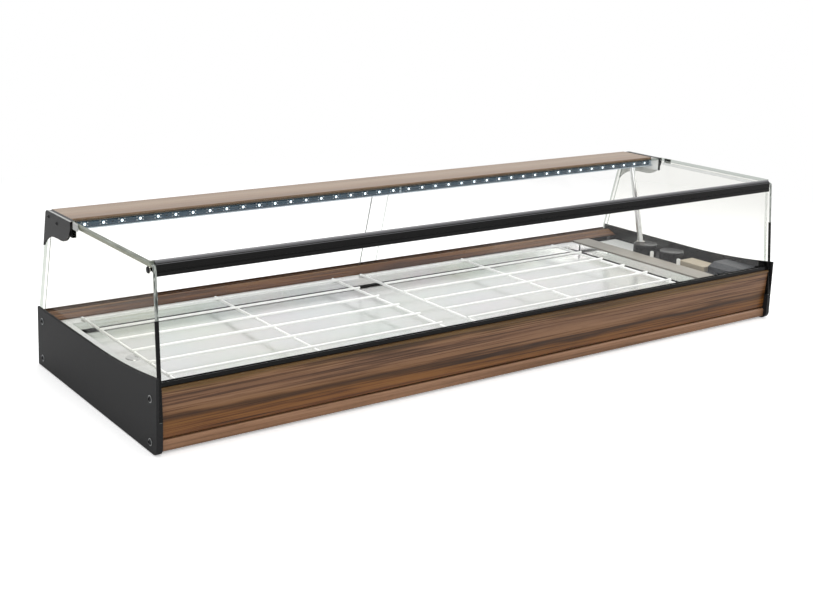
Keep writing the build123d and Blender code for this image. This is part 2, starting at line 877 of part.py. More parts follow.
# Lamp driver, control box and cap clips.
with BuildPart() as driver:
    with BuildSketch(Plane.XY.offset(deck_top)):
        with Locations(driver_place):
            Rectangle(driver_size[0], driver_size[1])
    extrude(amount=driver_size[2])
    chamfer(driver.faces().sort_by(Axis.Z)[-1].edges(), 1.0)
save(driver.part, "lamp_driver")

box_right = control_place[0] + control_plate[0] / 2
with BuildPart() as control_plate_part:
    with BuildSketch(Plane.XY.offset(deck_top)):
        with Locations(control_place):
            Rectangle(control_plate[0], control_plate[1])
    extrude(amount=control_plate[2])
    with BuildSketch(Plane.XZ.offset(-control_place[1] - control_plate[1] / 2)):
        with BuildLine():
            Polyline(
                (box_right, deck_top),
                (box_right - control_box[0], deck_top),
                (box_right - control_box[0], deck_top + control_box[1] - control_box_bevel),
                (box_right - control_box[0] + 2 * control_box_bevel, deck_top + control_box[1]),
                (box_right, deck_top + control_box[1]),
                close=True,
            )
        make_face()
    extrude(amount=control_plate[1])
    with BuildSketch(Plane.XY.offset(deck_top + control_plate[2])):
        with Locations((control_place[0] - control_plate[0] / 2 + ring_radius + ring_wall, control_place[1])):
            Circle(ring_radius)
            Circle(ring_radius - ring_wall, mode=Mode.SUBTRACT)
    extrude(amount=ring_height)
save(control_plate_part.part, "control_plate")

with BuildPart() as clips:
    with BuildSketch(Plane.XY.offset(partition_top)):
        with Locations(*[(cap_right - clip_size[0] / 2, y) for y in clip_places]):
            Rectangle(clip_size[0], clip_size[1])
    extrude(amount=clip_size[2])
    chamfer(clips.edges().filter_by(Axis.X).group_by(Axis.Z)[-1], clip_size[0] / 2)
save(clips.part, "deck_clips")

# Compressor: a lying can with domed ends on two saddles.
with BuildPart() as compressor:
    with BuildSketch(Plane.XZ.offset(-compressor_y - compressor_length / 2)):
        with Locations((compressor_x, compressor_z)):
            Circle(compressor_radius)
    extrude(amount=compressor_length)
    chamfer(compressor.edges().filter_by(GeomType.CIRCLE), compressor_dome)
    with BuildSketch(Plane.XY.offset(pan_floor)):
        with Locations((compressor_x, compressor_y)):
            with GridLocations(0, compressor_length / 2, 1, 2):
                Rectangle(compressor_radius * 1.7, saddle_width)
    extrude(amount=saddle_height)
save(compressor.part, "compressor")

# Condenser: flat fins on three flat tubes, then the fan and its rotor.
condenser_y = condenser_front + condenser_size[1] / 2
fin_pitch = (condenser_size[0] - 2 * fin_end) / (condenser_fins - 1)
with BuildPart() as condenser:
    with BuildSketch(Plane.YZ.offset(fan_x - condenser_size[0] / 2)):
        with Locations((condenser_y, condenser_z)):
            with GridLocations(0, condenser_size[2] / condenser_tubes, 1, condenser_tubes):
                Rectangle(condenser_size[1] - 2 * condenser_tube, condenser_tube)
    extrude(amount=condenser_size[0])
    for i in range(condenser_fins):
        fin_x = fan_x - condenser_size[0] / 2 + fin_end + i * fin_pitch
        with BuildSketch(Plane.YZ.offset(fin_x - fin_sheet / 2)):
            with Locations((condenser_y, condenser_z)):
                Rectangle(condenser_size[1], condenser_size[2])
        extrude(amount=fin_sheet)
save(condenser.part, "condenser")

with BuildPart() as fan_frame:
    with BuildSketch(Plane.XZ.offset(-fan_front)):
        with Locations((fan_x, fan_z)):
            RectangleRounded(fan_size, fan_size, fan_corner)
            Circle(fan_bore, mode=Mode.SUBTRACT)
    extrude(amount=-fan_depth)
    with BuildSketch(Plane.XZ.offset(-fan_front)):
        with Locations((fan_x, fan_z)):
            Circle(fan_hub)
            Rectangle(2 * fan_bore + 1, fan_arm)
            Rectangle(fan_arm, 2 * fan_bore + 1)
    extrude(amount=-fan_spider)
    with BuildSketch(Plane.XZ.offset(-fan_front - fan_spider)):
        with Locations((fan_x, fan_z)):
            Circle(fan_pin_radius)
    extrude(amount=-fan_pin_length)
save(fan_frame.part, "fan_frame")

with BuildPart() as rotor:
    with BuildSketch(Plane.XZ.offset(-fan_front - fan_spider - 1)):
        with Locations((fan_x, fan_z)):
            Circle(fan_hub)
    extrude(amount=-fan_depth + 2 * fan_spider + 1)
    for turn in PolarLocations(0, fan_blades):
        spoke = Vector(0, 0, 1).rotate(Axis.Y, turn.orientation.Z)
        blade_plane = Plane(
            origin=Vector(fan_x, fan_front + fan_depth / 2, fan_z) + spoke * (fan_hub - 1),
            x_dir=(0, 1, 0),
            z_dir=spoke,
        )
        with BuildSketch(blade_plane):
            Rectangle(blade_chord, blade_thickness, rotation=blade_pitch)
        extrude(amount=fan_bore - fan_hub)
    with BuildSketch(Plane.XZ.offset(-fan_front)):
        with Locations((fan_x, fan_z)):
            Circle(fan_bore - blade_gap)
    extrude(amount=-fan_depth, mode=Mode.INTERSECT)
    with BuildSketch(Plane.XZ.offset(-fan_front - fan_spider)):
        with Locations((fan_x, fan_z)):
            Circle(fan_pin_radius + fan_pin_gap)
    extrude(amount=-fan_pin_length - 1, mode=Mode.SUBTRACT)
save(rotor.part, "fan_rotor")

# Discharge pipe from the compressor to the condenser, with the drier in the return line.
def pipe(points, radii, name):
    with BuildPart() as line:
        with BuildLine() as path:
            FilletPolyline(*points, radius=radii)
        with BuildSketch(Plane(origin=path.line @ 0, z_dir=path.line % 0)):
            Circle(pipe_radius)
        sweep(path=path.line)
    save(line.part, name)


pipe_y = compressor_y + compressor_length / 2
pipe_end = condenser_front - 1
pipe_run = pipe_end - pipe_y
pipe(
    [
        (compressor_x, pipe_y, compressor_z),
        (compressor_x, pipe_y + pipe_run / 4, compressor_z),
        (compressor_x - pipe_shift[0], pipe_end - pipe_run / 4, compressor_z + pipe_shift[1]),
        (compressor_x - pipe_shift[0], pipe_end, compressor_z + pipe_shift[1]),
    ],
    [4 * pipe_radius, 4 * pipe_radius],
    "discharge_pipe",
)
with BuildPart() as drier:
    with BuildSketch(Plane.XZ.offset(drier_inset_rear - rear)):
        with Locations((partition_left + partition_sheet + drier_radius + glass_gap, 3 * drier_radius)):
            Circle(drier_radius)
    extrude(amount=-drier_length)
    chamfer(drier.edges().filter_by(GeomType.CIRCLE), drier_radius / 3)
save(drier.part, "filter_drier")

# Canopy: a hollow aluminium profile with a wood-grain board and a face for the lamps.
bracket_face = inner - bracket_inner
canopy_length = 2 * bracket_face
with BuildPart() as canopy_profile:
    with BuildSketch(Plane.YZ.offset(-bracket_face)):
        with BuildLine():
            Polyline(
                (canopy_front, canopy_foot + canopy_profile_height),
                (canopy_front, led_face_foot + led_lip_thickness),
                (canopy_front - led_lip, led_face_foot + led_lip_thickness),
                (canopy_front - led_lip, led_face_foot),
                (canopy_front + 12, led_face_foot),
                (canopy_front + 16, canopy_foot),
                (canopy_rear, canopy_foot),
                (canopy_rear, canopy_foot + canopy_profile_height),
                close=True,
            )
        make_face()
        for i in range(3):
            cell = (canopy_rear - canopy_front - 16 - 4 * canopy_wall) / 3
            with Locations((canopy_front + 16 + canopy_wall + i * (cell + canopy_wall), canopy_foot + canopy_wall)):
                Rectangle(
                    cell,
                    canopy_profile_height - 2 * canopy_wall,
                    align=(Align.MIN, Align.MIN),
                    mode=Mode.SUBTRACT,
                )
    extrude(amount=canopy_length)
save(canopy_profile.part, "canopy_profile")

with BuildPart() as canopy_board:
    with BuildSketch(Plane.YZ.offset(-bracket_face)):
        with Locations((canopy_front, canopy_top)):
            Rectangle(
                canopy_rear - canopy_front,
                canopy_board_thickness,
                align=(Align.MIN, Align.MAX),
            )
    extrude(amount=canopy_length)
    fillet(canopy_board.edges().filter_by(Axis.X).group_by(Axis.Z)[-1], 1.2)
save(canopy_board.part, "canopy_board")

# Lamp strips: two boards end to end, with surface lamps at an even pitch.
led_z = led_face_foot + led_lip_thickness + led_board_width / 2 + 0.3
lamp_span = led_pitch * (led_count - 1)


def lamp_x(i):
    shift = led_joint_gap / 2 if i >= led_joint else -led_joint_gap / 2
    return -lamp_span / 2 + i * led_pitch + shift


def lamp_board(first, last):
    with BuildPart() as strip:
        with BuildSketch(Plane.XZ.offset(-canopy_front)):
            with Locations(((lamp_x(first) + lamp_x(last)) / 2, led_z)):
                Rectangle(lamp_x(last) - lamp_x(first) + led_pitch - led_joint_gap / 2, led_board_width)
        extrude(amount=led_board_thickness)
    return strip.part


save(lamp_board(0, led_joint - 1), "lamp_strip_left")
save(lamp_board(led_joint, led_count - 1), "lamp_strip_right")

with BuildPart() as lamps:
    with BuildSketch(Plane.XZ.offset(-canopy_front + led_board_thickness)):
        with Locations(*[(lamp_x(i), led_z) for i in range(led_count)]):
            Rectangle(led_chip, led_chip)
    extrude(amount=led_chip_height)
save(lamps.part, "lamps")

# End bracket: an outer skin with a tapering tail, and a block that carries the canopy.
def bracket_point(along, down):
    return (bracket_front + along * bracket_length, canopy_top - down * bracket_drop)


bracket_rear = canopy_rear + 2
with BuildPart() as left_bracket:
    with BuildSketch(Plane.YZ.offset(-glass_outer)) as skin:
        with BuildLine():
            Line((bracket_front, canopy_top), (bracket_rear - bracket_corner, canopy_top))
            RadiusArc(
                (bracket_rear - bracket_corner, canopy_top),
                (bracket_rear, canopy_top - bracket_corner),
                bracket_corner,
            )
            Line((bracket_rear, canopy_top - bracket_corner), bracket_point(1, 1))
            Spline(
                bracket_point(1, 1),
                bracket_point(0.87, 0.785),
                bracket_point(0.7, 0.655),
                bracket_point(0.38, 0.61),
                bracket_point(0.2, 0.57),
                bracket_point(0.075, 0.415),
                bracket_point(0, 0.155),
            )
            Line(bracket_point(0, 0.155), (bracket_front, canopy_top))
        make_face()
    extrude(amount=-bracket_skin)
    with BuildSketch(Plane.YZ.offset(-glass_outer)):
        with BuildLine():
            Polyline(
                (bracket_front, side_glass_step + glass_gap),
                (bracket_front, canopy_top),
                (bracket_rear - bracket_corner, canopy_top),
                (bracket_rear - 1, canopy_top - bracket_corner),
                (glass_rear_at(side_glass_step), side_glass_step + glass_gap),
                close=True,
            )
        make_face()
    extrude(amount=glass + bracket_inner)
save(left_bracket.part, "left_end_bracket")
save(mirrored(left_bracket.part), "right_end_bracket")

with BuildPart() as bracket_screw:
    with BuildSketch(Plane.YZ.offset(-glass_outer - bracket_skin)):
        with Locations(bracket_point(0.48, 0.22), bracket_point(0.78, 0.15)):
            RegularPolygon(bracket_screw_radius, screw_sides)
    extrude(amount=-bracket_screw_head)
bracket_screws = Compound(
    children=list(bracket_screw.part.solids()) + list(mirrored(bracket_screw.part).solids())
)
save(bracket_screws, "bracket_screws")

# Wiring tube from the relay cap up to the canopy, with a collar at its foot.
tube_run = Line((tube_x, tube_foot_y, tube_foot_z), (tube_x, tube_head_y, led_face_foot))
with BuildPart() as tube:
    with BuildSketch(Plane(origin=tube_run @ 0, z_dir=tube_run % 0)):
        Circle(tube_radius)
        Circle(tube_radius - tube_wall, mode=Mode.SUBTRACT)
    extrude(amount=tube_run.length + 3)
    split(bisect_by=Plane.XY.offset(led_face_foot), keep=Keep.BOTTOM)
    split(bisect_by=Plane.XY.offset(tube_foot_z), keep=Keep.TOP)
save(tube.part, "wiring_tube")

with BuildPart() as collar:
    with BuildSketch(Plane.XY.offset(tube_foot_z)):
        with Locations((tube_x, tube_foot_y)):
            Circle(collar_radius)
    extrude(amount=collar_height)
    with BuildSketch(Plane(origin=tube_run @ 0, z_dir=tube_run % 0).offset(-4)):
        Circle(tube_radius + 0.1)
    extrude(amount=collar_height + 10, mode=Mode.SUBTRACT)
save(collar.part, "tube_collar")

# Thermostat: a body behind the rear panel and a knob on its spindle.
with BuildPart() as thermostat:
    with BuildSketch(Plane.XZ.offset(-rear_face + rear_panel_sheet)):
        with Locations((knob_x, knob_z)):
            RectangleRounded(34, 30, 3)
    extrude(amount=26)
    with BuildSketch(Plane.XZ.offset(-rear_face + rear_panel_sheet)):
        with Locations((knob_x, knob_z)):
            Circle(3.0)
    extrude(amount=-rear_panel_sheet - 6)
save(thermostat.part, "thermostat")

with BuildPart() as knob:
    with BuildSketch(Plane.XZ.offset(-rear_face - knob_gap)):
        with Locations((knob_x, knob_z)):
            Circle(knob_radius)
    extrude(amount=-2.5)
    with BuildSketch(Plane.XZ.offset(-rear_face - knob_gap - 2.5)):
        with Locations((knob_x, knob_z)):
            Circle(knob_radius - 5)
            Rectangle(6, 2 * knob_radius - 6)
    extrude(amount=-knob_height + 2.5)
    with BuildSketch(Plane.XZ.offset(-rear_face - knob_gap)):
        with Locations((knob_x, knob_z)):
            Circle(3.05)
    extrude(amount=-6.5, mode=Mode.SUBTRACT)
save(knob.part, "thermostat_knob")

# Mains switch: a bezel through the panel and a rocker on pins.
with BuildPart() as switch_bezel:
    with BuildSketch(Plane.XZ.offset(-rear_face)):
        with Locations((switch_x, knob_z)):
            RectangleRounded(switch_width, switch_height, 2)
            Rectangle(rocker_width + 1, rocker_height + 1, mode=Mode.SUBTRACT)
    extrude(amount=-2)
    with BuildSketch(Plane.XZ.offset(-rear_face)):
        with Locations((switch_x, knob_z)):
            Rectangle(switch_width - 3.4, switch_height - 3.4)
            Rectangle(rocker_width - 0.4, rocker_height + 1, mode=Mode.SUBTRACT)
    extrude(amount=14)
    with BuildSketch(Plane.XZ.offset(-rear_face + 14)):
        with Locations((switch_x, knob_z)):
            Rectangle(switch_width - 3.4, switch_height - 3.4)
    extrude(amount=8)
save(switch_bezel.part, "switch_body")

with BuildPart() as rocker:
    with BuildSketch(Plane.YZ.offset(switch_x - rocker_width / 2 + 0.6)):
        with BuildLine():
            Polyline(
                (rear_face - 6, knob_z),
                (rear_face - 1.5, knob_z + rocker_height / 2 - 1.5),
                (rear_face + 1.0, knob_z + rocker_height / 2 - 1),
                (rear_face + 1.6, knob_z),
                (rear_face + 5.0, knob_z - rocker_height / 2 + 2),
                (rear_face + 0.5, knob_z - rocker_height / 2 + 1),
                close=True,
            )
        make_face()
    extrude(amount=rocker_width - 1.2)
    with BuildSketch(Plane.YZ.offset(switch_x - rocker_width / 2 + 0.3)):
        with Locations((rear_face - rocker_setback, knob_z)):
            Circle(rocker_pin)
    extrude(amount=rocker_width - 0.6)
save(rocker.part, "switch_rocker")

# Cable gland in the rear panel.
with BuildPart() as gland:
    with BuildSketch(Plane.XZ.offset(-rear_face)):
        with Locations((gland_x, knob_z)):
            RegularPolygon(gland_radius, 6)
            Circle(gland_bore, mode=Mode.SUBTRACT)
    extrude(amount=-5)
    with BuildSketch(Plane.XZ.offset(-rear_face - 5)):
        with Locations((gland_x, knob_z)):
            Circle(gland_radius - 2)
            Circle(gland_bore, mode=Mode.SUBTRACT)
    extrude(amount=-7)
    with BuildSketch(Plane.XZ.offset(-rear_face)):
        with Locations((gland_x, knob_z)):
            Circle(gland_radius - 3.1)
            Circle(gland_bore, mode=Mode.SUBTRACT)
    extrude(amount=12)
save(gland.part, "cable_gland")
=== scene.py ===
import bmesh
import bpy
import math
import numpy as np
from mathutils import Matrix, Vector


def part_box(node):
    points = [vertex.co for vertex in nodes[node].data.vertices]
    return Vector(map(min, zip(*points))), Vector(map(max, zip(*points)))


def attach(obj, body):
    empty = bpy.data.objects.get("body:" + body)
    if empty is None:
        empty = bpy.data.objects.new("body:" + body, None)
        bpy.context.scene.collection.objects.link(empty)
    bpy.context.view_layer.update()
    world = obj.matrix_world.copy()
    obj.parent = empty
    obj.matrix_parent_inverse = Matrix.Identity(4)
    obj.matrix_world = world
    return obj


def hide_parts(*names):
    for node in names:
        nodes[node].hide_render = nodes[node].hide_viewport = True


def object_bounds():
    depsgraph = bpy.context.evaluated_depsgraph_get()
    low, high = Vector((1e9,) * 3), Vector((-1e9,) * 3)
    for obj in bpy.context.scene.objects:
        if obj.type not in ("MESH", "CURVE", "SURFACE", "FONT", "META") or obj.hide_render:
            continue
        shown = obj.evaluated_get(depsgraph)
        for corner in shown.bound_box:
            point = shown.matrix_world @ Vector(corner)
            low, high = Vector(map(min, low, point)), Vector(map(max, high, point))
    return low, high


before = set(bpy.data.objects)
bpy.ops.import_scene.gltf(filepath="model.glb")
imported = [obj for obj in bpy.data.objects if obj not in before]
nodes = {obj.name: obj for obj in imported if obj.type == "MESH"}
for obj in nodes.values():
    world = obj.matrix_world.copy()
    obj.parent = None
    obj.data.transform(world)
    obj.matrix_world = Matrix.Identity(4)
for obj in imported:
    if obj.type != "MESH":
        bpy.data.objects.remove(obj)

cadLow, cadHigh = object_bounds()
print("frame loaded:", len(nodes), "nodes")


def linearColour(hexText):  # sRGB hex to the linear values that shader sockets take
    parts = [int(hexText[i:i + 2], 16) / 255 for i in (1, 3, 5)]
    return tuple([p / 12.92 if p <= 0.04045 else ((p + 0.055) / 1.055) ** 2.4 for p in parts] + [1.0])


def addNode(tree, kind, settings=None, links=None):  # one shader node, its sockets set and its inputs linked
    node = tree.nodes.new("ShaderNode" + kind)
    for key, value in (settings or {}).items():
        if isinstance(key, int) or key in node.inputs:
            node.inputs[key].default_value = value
        else:
            setattr(node, key, value)
    for key, source in (links or {}).items():
        tree.links.new(source, node.inputs[key])
    return node


def startMaterial(name):  # an empty material with its output and the object's own coordinates
    material = bpy.data.materials.new(name)
    material.use_nodes = True
    tree = material.node_tree
    tree.nodes.clear()
    output = tree.nodes.new("ShaderNodeOutputMaterial")
    coords = tree.nodes.new("ShaderNodeTexCoord")
    return material, tree, output, coords


# object coordinates scaled by axis, features per metre
def stretched(tree, coords, scale, turn=(0.0, 0.0, 0.0)):
    return addNode(tree, "Mapping", {"Scale": scale, "Rotation": turn}, {"Vector": coords.outputs["Object"]})


def colourRamp(tree, source, stops):  # a ramp of hex colours at the given places
    ramp = addNode(tree, "ValToRGB", None, {"Fac": source})
    elements = ramp.color_ramp.elements
    while len(elements) < len(stops):
        elements.new(0.5)
    for element, (place, hexText) in zip(elements, stops):
        element.position = place
        element.color = linearColour(hexText)
    return ramp


# Walnut foil wrapped on extruded panels. The colour follows the height on the board (or its depth on the
# canopy) through a ramp of zones, whose height wanders along the length as a sawn board's figure does; the
# zones are partly that figure and partly painted reflection and shade.
walnutLook = {
    # the figure drifts by up to 14 mm, every 500 mm
    "wanderScale": 2.0, "wanderWidth": 14.0, "wanderReach": 0.014,
    "archScale": 6.5, "archWidth": 34.0, "archReach": 0.008,  # shorter arches inside it, every 150 mm
    "grainLength": 3.2, "grainWidth": 360.0,   # grain lines about 3 mm apart
    "streakLength": 1.7, "streakWidth": 95.0,  # dark late-wood streaks about 10 mm apart
    "poreLength": 26.0, "poreWidth": 1300.0,   # pores under 1 mm wide, 35 mm long
}


def walnutFoil(name, zones, axis="Z", reach=(0.004, 0.104), shift=0.0, gloss=0.36, contrast=0.85):
    look = walnutLook
    material, tree, output, coords = startMaterial(name)
    moved = addNode(tree, "Mapping", {"Location": (shift, shift * 0.3, shift * 0.3)},
        {"Vector": coords.outputs["Object"]})
    drift = addNode(tree, "Mapping",
        {"Scale": (look["wanderScale"], look["wanderWidth"], look["wanderWidth"])},
        {"Vector": moved.outputs["Vector"]})
    driftNoise = addNode(tree, "TexNoise", {"Scale": 1.0, "Detail": 1.5}, {"Vector": drift.outputs["Vector"]})
    arch = addNode(tree, "Mapping", {"Scale": (look["archScale"], look["archWidth"], look["archWidth"])},
        {"Vector": moved.outputs["Vector"]})
    archNoise = addNode(tree, "TexNoise", {"Scale": 1.0, "Detail": 2.0}, {"Vector": arch.outputs["Vector"]})
    split = addNode(tree, "SeparateXYZ", None, {"Vector": coords.outputs["Object"]})
    lift = addNode(tree, "Math", {"operation": "MULTIPLY_ADD", 1: 2 * look["wanderReach"]},
        {0: driftNoise.outputs["Fac"], 2: split.outputs[axis]})
    lifted = addNode(tree, "Math", {"operation": "MULTIPLY_ADD", 1: 2 * look["archReach"]},
        {0: archNoise.outputs["Fac"], 2: lift.outputs["Value"]})
    level = addNode(tree, "Math", {"operation": "SUBTRACT", 1: look["wanderReach"] + look["archReach"]},
        {0: lifted.outputs["Value"]})
    place = addNode(tree, "MapRange", {"From Min": reach[0], "From Max": reach[1]},
        {"Value": level.outputs["Value"]})
    base = colourRamp(tree, place.outputs["Result"], zones)
    grain = addNode(tree, "Mapping", {"Scale": (look["grainLength"], look["grainWidth"], look["grainWidth"])},
        {"Vector": moved.outputs["Vector"]})
    grainNoise = addNode(tree, "TexNoise",
        {"Scale": 1.0, "Detail": 5.0, "Roughness": 0.62, "Distortion": 0.25},
        {"Vector": grain.outputs["Vector"]})
    grainShade = colourRamp(tree, grainNoise.outputs["Fac"],
        [(0.34, "#5c4833"), (0.44, "#ab967f"), (0.52, "#f2eadf"), (0.66, "#ffffff")])
    grained = addNode(tree, "Mix", {"data_type": "RGBA", "blend_type": "MULTIPLY", 0: contrast},
        {6: base.outputs["Color"], 7: grainShade.outputs["Color"]})
    streak = addNode(tree, "Mapping",
        {"Scale": (look["streakLength"], look["streakWidth"], look["streakWidth"])},
        {"Vector": moved.outputs["Vector"]})
    streakNoise = addNode(tree, "TexNoise",
        {"Scale": 1.0, "Detail": 3.0, "Roughness": 0.5, "Distortion": 0.5},
        {"Vector": streak.outputs["Vector"]})
    streakMask = addNode(tree, "MapRange", {"From Min": 0.57, "From Max": 0.66, "To Max": 0.8 * contrast},
        {"Value": streakNoise.outputs["Fac"]})
    streaked = addNode(tree, "Mix",
        {"data_type": "RGBA", "blend_type": "MULTIPLY", 7: linearColour("#6e5334")},
        {0: streakMask.outputs["Result"], 6: grained.outputs[2]})
    pore = addNode(tree, "Mapping", {"Scale": (look["poreLength"], look["poreWidth"], look["poreWidth"])},
        {"Vector": moved.outputs["Vector"]})
    poreNoise = addNode(tree, "TexNoise", {"Scale": 1.0, "Detail": 2.0}, {"Vector": pore.outputs["Vector"]})
    poreMask = addNode(tree, "MapRange", {"From Min": 0.60, "From Max": 0.72, "To Max": 0.5},
        {"Value": poreNoise.outputs["Fac"]})
    pored = addNode(tree, "Mix", {"data_type": "RGBA", "blend_type": "MULTIPLY", 7: linearColour("#8a6a4c")},
        {0: poreMask.outputs["Result"], 6: streaked.outputs[2]})
    shine = addNode(tree, "MapRange", {"To Min": gloss - 0.05, "To Max": gloss + 0.1},
        {"Value": grainNoise.outputs["Fac"]})
    bump = addNode(tree, "Bump", {"Strength": 0.18, "Distance": 0.0003},
        {"Height": poreMask.outputs["Result"]})
    surface = addNode(tree, "BsdfPrincipled", {"IOR": 1.5, "Specular IOR Level": 0.3},
        {"Base Color": pored.outputs[2], "Roughness": shine.outputs["Result"],
        "Normal": bump.outputs["Normal"]})
    tree.links.new(surface.outputs["BSDF"], output.inputs["Surface"])
    return material


# Low-reflection float glass: the faces let light straight through with a weak Fresnel mirror on them, and
# the ground edges show grey-green streaks along the edge, partly grinding marks and partly painted reflection
# seen inside the edge.
glassLook = {"ior": 1.5, "edgeRoughness": 0.3, "coating": 0.045}


def floatGlass(name, thinAxis, edgeStops, streakScale, tint="#fefefe"):
    look = glassLook
    material, tree, output, coords = startMaterial(name)
    through = addNode(tree, "BsdfTransparent", {"Color": linearColour(tint)})
    mirror = addNode(tree, "BsdfGlossy", {"Roughness": 0.0, "Color": (1, 1, 1, 1)})
    fresnel = addNode(tree, "Fresnel", {"IOR": look["ior"]})
    weak = addNode(tree, "Math", {"operation": "MULTIPLY", 1: look["coating"]}, {0: fresnel.outputs["Fac"]})
    lit = addNode(tree, "MixShader", None,
        {0: weak.outputs["Value"], 1: through.outputs["BSDF"], 2: mirror.outputs["BSDF"]})
    lines = stretched(tree, coords, streakScale)
    streak = addNode(tree, "TexNoise", {"Scale": 1.0, "Detail": 3.0, "Distortion": 0.6},
        {"Vector": lines.outputs["Vector"]})
    shade = colourRamp(tree, streak.outputs["Fac"], edgeStops)
    bump = addNode(tree, "Bump", {"Strength": 0.15, "Distance": 0.0003}, {"Height": streak.outputs["Fac"]})
    ground = addNode(tree, "BsdfPrincipled",
        {"Roughness": look["edgeRoughness"], "IOR": look["ior"], "Specular IOR Level": 0.3},
        {"Base Color": shade.outputs["Color"], "Normal": bump.outputs["Normal"]})
    normal = addNode(tree, "NewGeometry")
    facing = addNode(tree, "VectorMath", {"operation": "DOT_PRODUCT", 1: thinAxis},
        {0: normal.outputs["True Normal"]})
    size = addNode(tree, "Math", {"operation": "ABSOLUTE"}, {0: facing.outputs["Value"]})
    isEdge = addNode(tree, "Math", {"operation": "LESS_THAN", 1: 0.6}, {0: size.outputs["Value"]})
    inside = addNode(tree, "BsdfTransparent", {"Color": linearColour("#c4c9c4")})
    edge = addNode(tree, "MixShader", None,
        {0: normal.outputs["Backfacing"], 1: ground.outputs["BSDF"], 2: inside.outputs["BSDF"]})
    both = addNode(tree, "MixShader", None,
        {0: isEdge.outputs["Value"], 1: lit.outputs["Shader"], 2: edge.outputs["Shader"]})
    tree.links.new(both.outputs["Shader"], output.inputs["Surface"])
    return material


# Moulded ABS: a fine spark-eroded grain that breaks up the highlight.
def mouldedPlastic(name, colour, roughness=0.42, grain=1400.0, depth=0.00012, lighter="#1c1c1d", sheen=0.16,
    linerAxis=None, liner="#e2e3e1", lugEdge=None):
    material, tree, output, coords = startMaterial(name)
    fine = addNode(tree, "TexNoise", {"Scale": grain, "Detail": 2.0}, {"Vector": coords.outputs["Object"]})
    broad = addNode(tree, "TexNoise", {"Scale": 9.0, "Detail": 3.0}, {"Vector": coords.outputs["Object"]})
    shade = addNode(tree, "Mix", {"data_type": "RGBA", 6: linearColour(colour), 7: linearColour(lighter)},
        {0: broad.outputs["Fac"]})
    rough = addNode(tree, "MapRange", {"To Min": roughness - 0.06, "To Max": roughness + 0.1},
        {"Value": fine.outputs["Fac"]})
    bump = addNode(tree, "Bump", {"Strength": 0.35, "Distance": depth}, {"Height": fine.outputs["Fac"]})
    if linerAxis:  # the face towards the glass carries a pale foam liner
        normal = addNode(tree, "NewGeometry")
        facing = addNode(tree, "VectorMath", {"operation": "DOT_PRODUCT", 1: linerAxis},
            {0: normal.outputs["True Normal"]})
        inner = addNode(tree, "Math", {"operation": "GREATER_THAN", 1: 0.9}, {0: facing.outputs["Value"]})
        shade = addNode(tree, "Mix", {"data_type": "RGBA", 7: linearColour(liner)},
            {0: inner.outputs["Value"], 6: shade.outputs[2]})
    if lugEdge is not None:  # the lug in front of this y is a grey cover
        place = addNode(tree, "SeparateXYZ", None, {"Vector": coords.outputs["Object"]})
        front = addNode(tree, "Math", {"operation": "LESS_THAN", 1: lugEdge}, {0: place.outputs["Y"]})
        shade = addNode(tree, "Mix", {"data_type": "RGBA", 7: linearColour("#b2b4b2")},
            {0: front.outputs["Value"], 6: shade.outputs[2]})
    surface = addNode(tree, "BsdfPrincipled", {"IOR": 1.53, "Specular IOR Level": sheen},
        {"Base Color": shade.outputs[2], "Roughness": rough.outputs["Result"],
        "Normal": bump.outputs["Normal"]})
    tree.links.new(surface.outputs["BSDF"], output.inputs["Surface"])
    return material


# Extruded black PVC: smooth with faint die lines along its length. Where bands are given, painted highlight
# lines, a painted reflection on the bevel and painted shade in the groove run along it at their heights, as
# (height in metres, colour) steps.
def dieLinedPlastic(name, colour="#0a0a0a", roughness=0.26, paintedLightBands=None):
    material, tree, output, coords = startMaterial(name)
    lines = stretched(tree, coords, (0.8, 1500.0, 1500.0))
    drawn = addNode(tree, "TexNoise", {"Scale": 1.0, "Detail": 2.0}, {"Vector": lines.outputs["Vector"]})
    steps = paintedLightBands or [(0.0, colour), (1.0, colour)]
    low, high = steps[0][0], steps[-1][0]
    split = addNode(tree, "SeparateXYZ", None, {"Vector": coords.outputs["Object"]})
    height = addNode(tree, "MapRange", {"From Min": low, "From Max": high}, {"Value": split.outputs["Z"]})
    shade = colourRamp(tree, height.outputs["Result"],
        [((z - low) / (high - low), tone) for z, tone in steps])
    rough = addNode(tree, "MapRange", {"To Min": roughness - 0.05, "To Max": roughness + 0.08},
        {"Value": drawn.outputs["Fac"]})
    bump = addNode(tree, "Bump", {"Strength": 0.12, "Distance": 0.0001}, {"Height": drawn.outputs["Fac"]})
    surface = addNode(tree, "BsdfPrincipled", {"IOR": 1.54, "Specular IOR Level": 0.12},
        {"Base Color": shade.outputs["Color"], "Roughness": rough.outputs["Result"],
        "Normal": bump.outputs["Normal"]})
    tree.links.new(surface.outputs["BSDF"], output.inputs["Surface"])
    return material


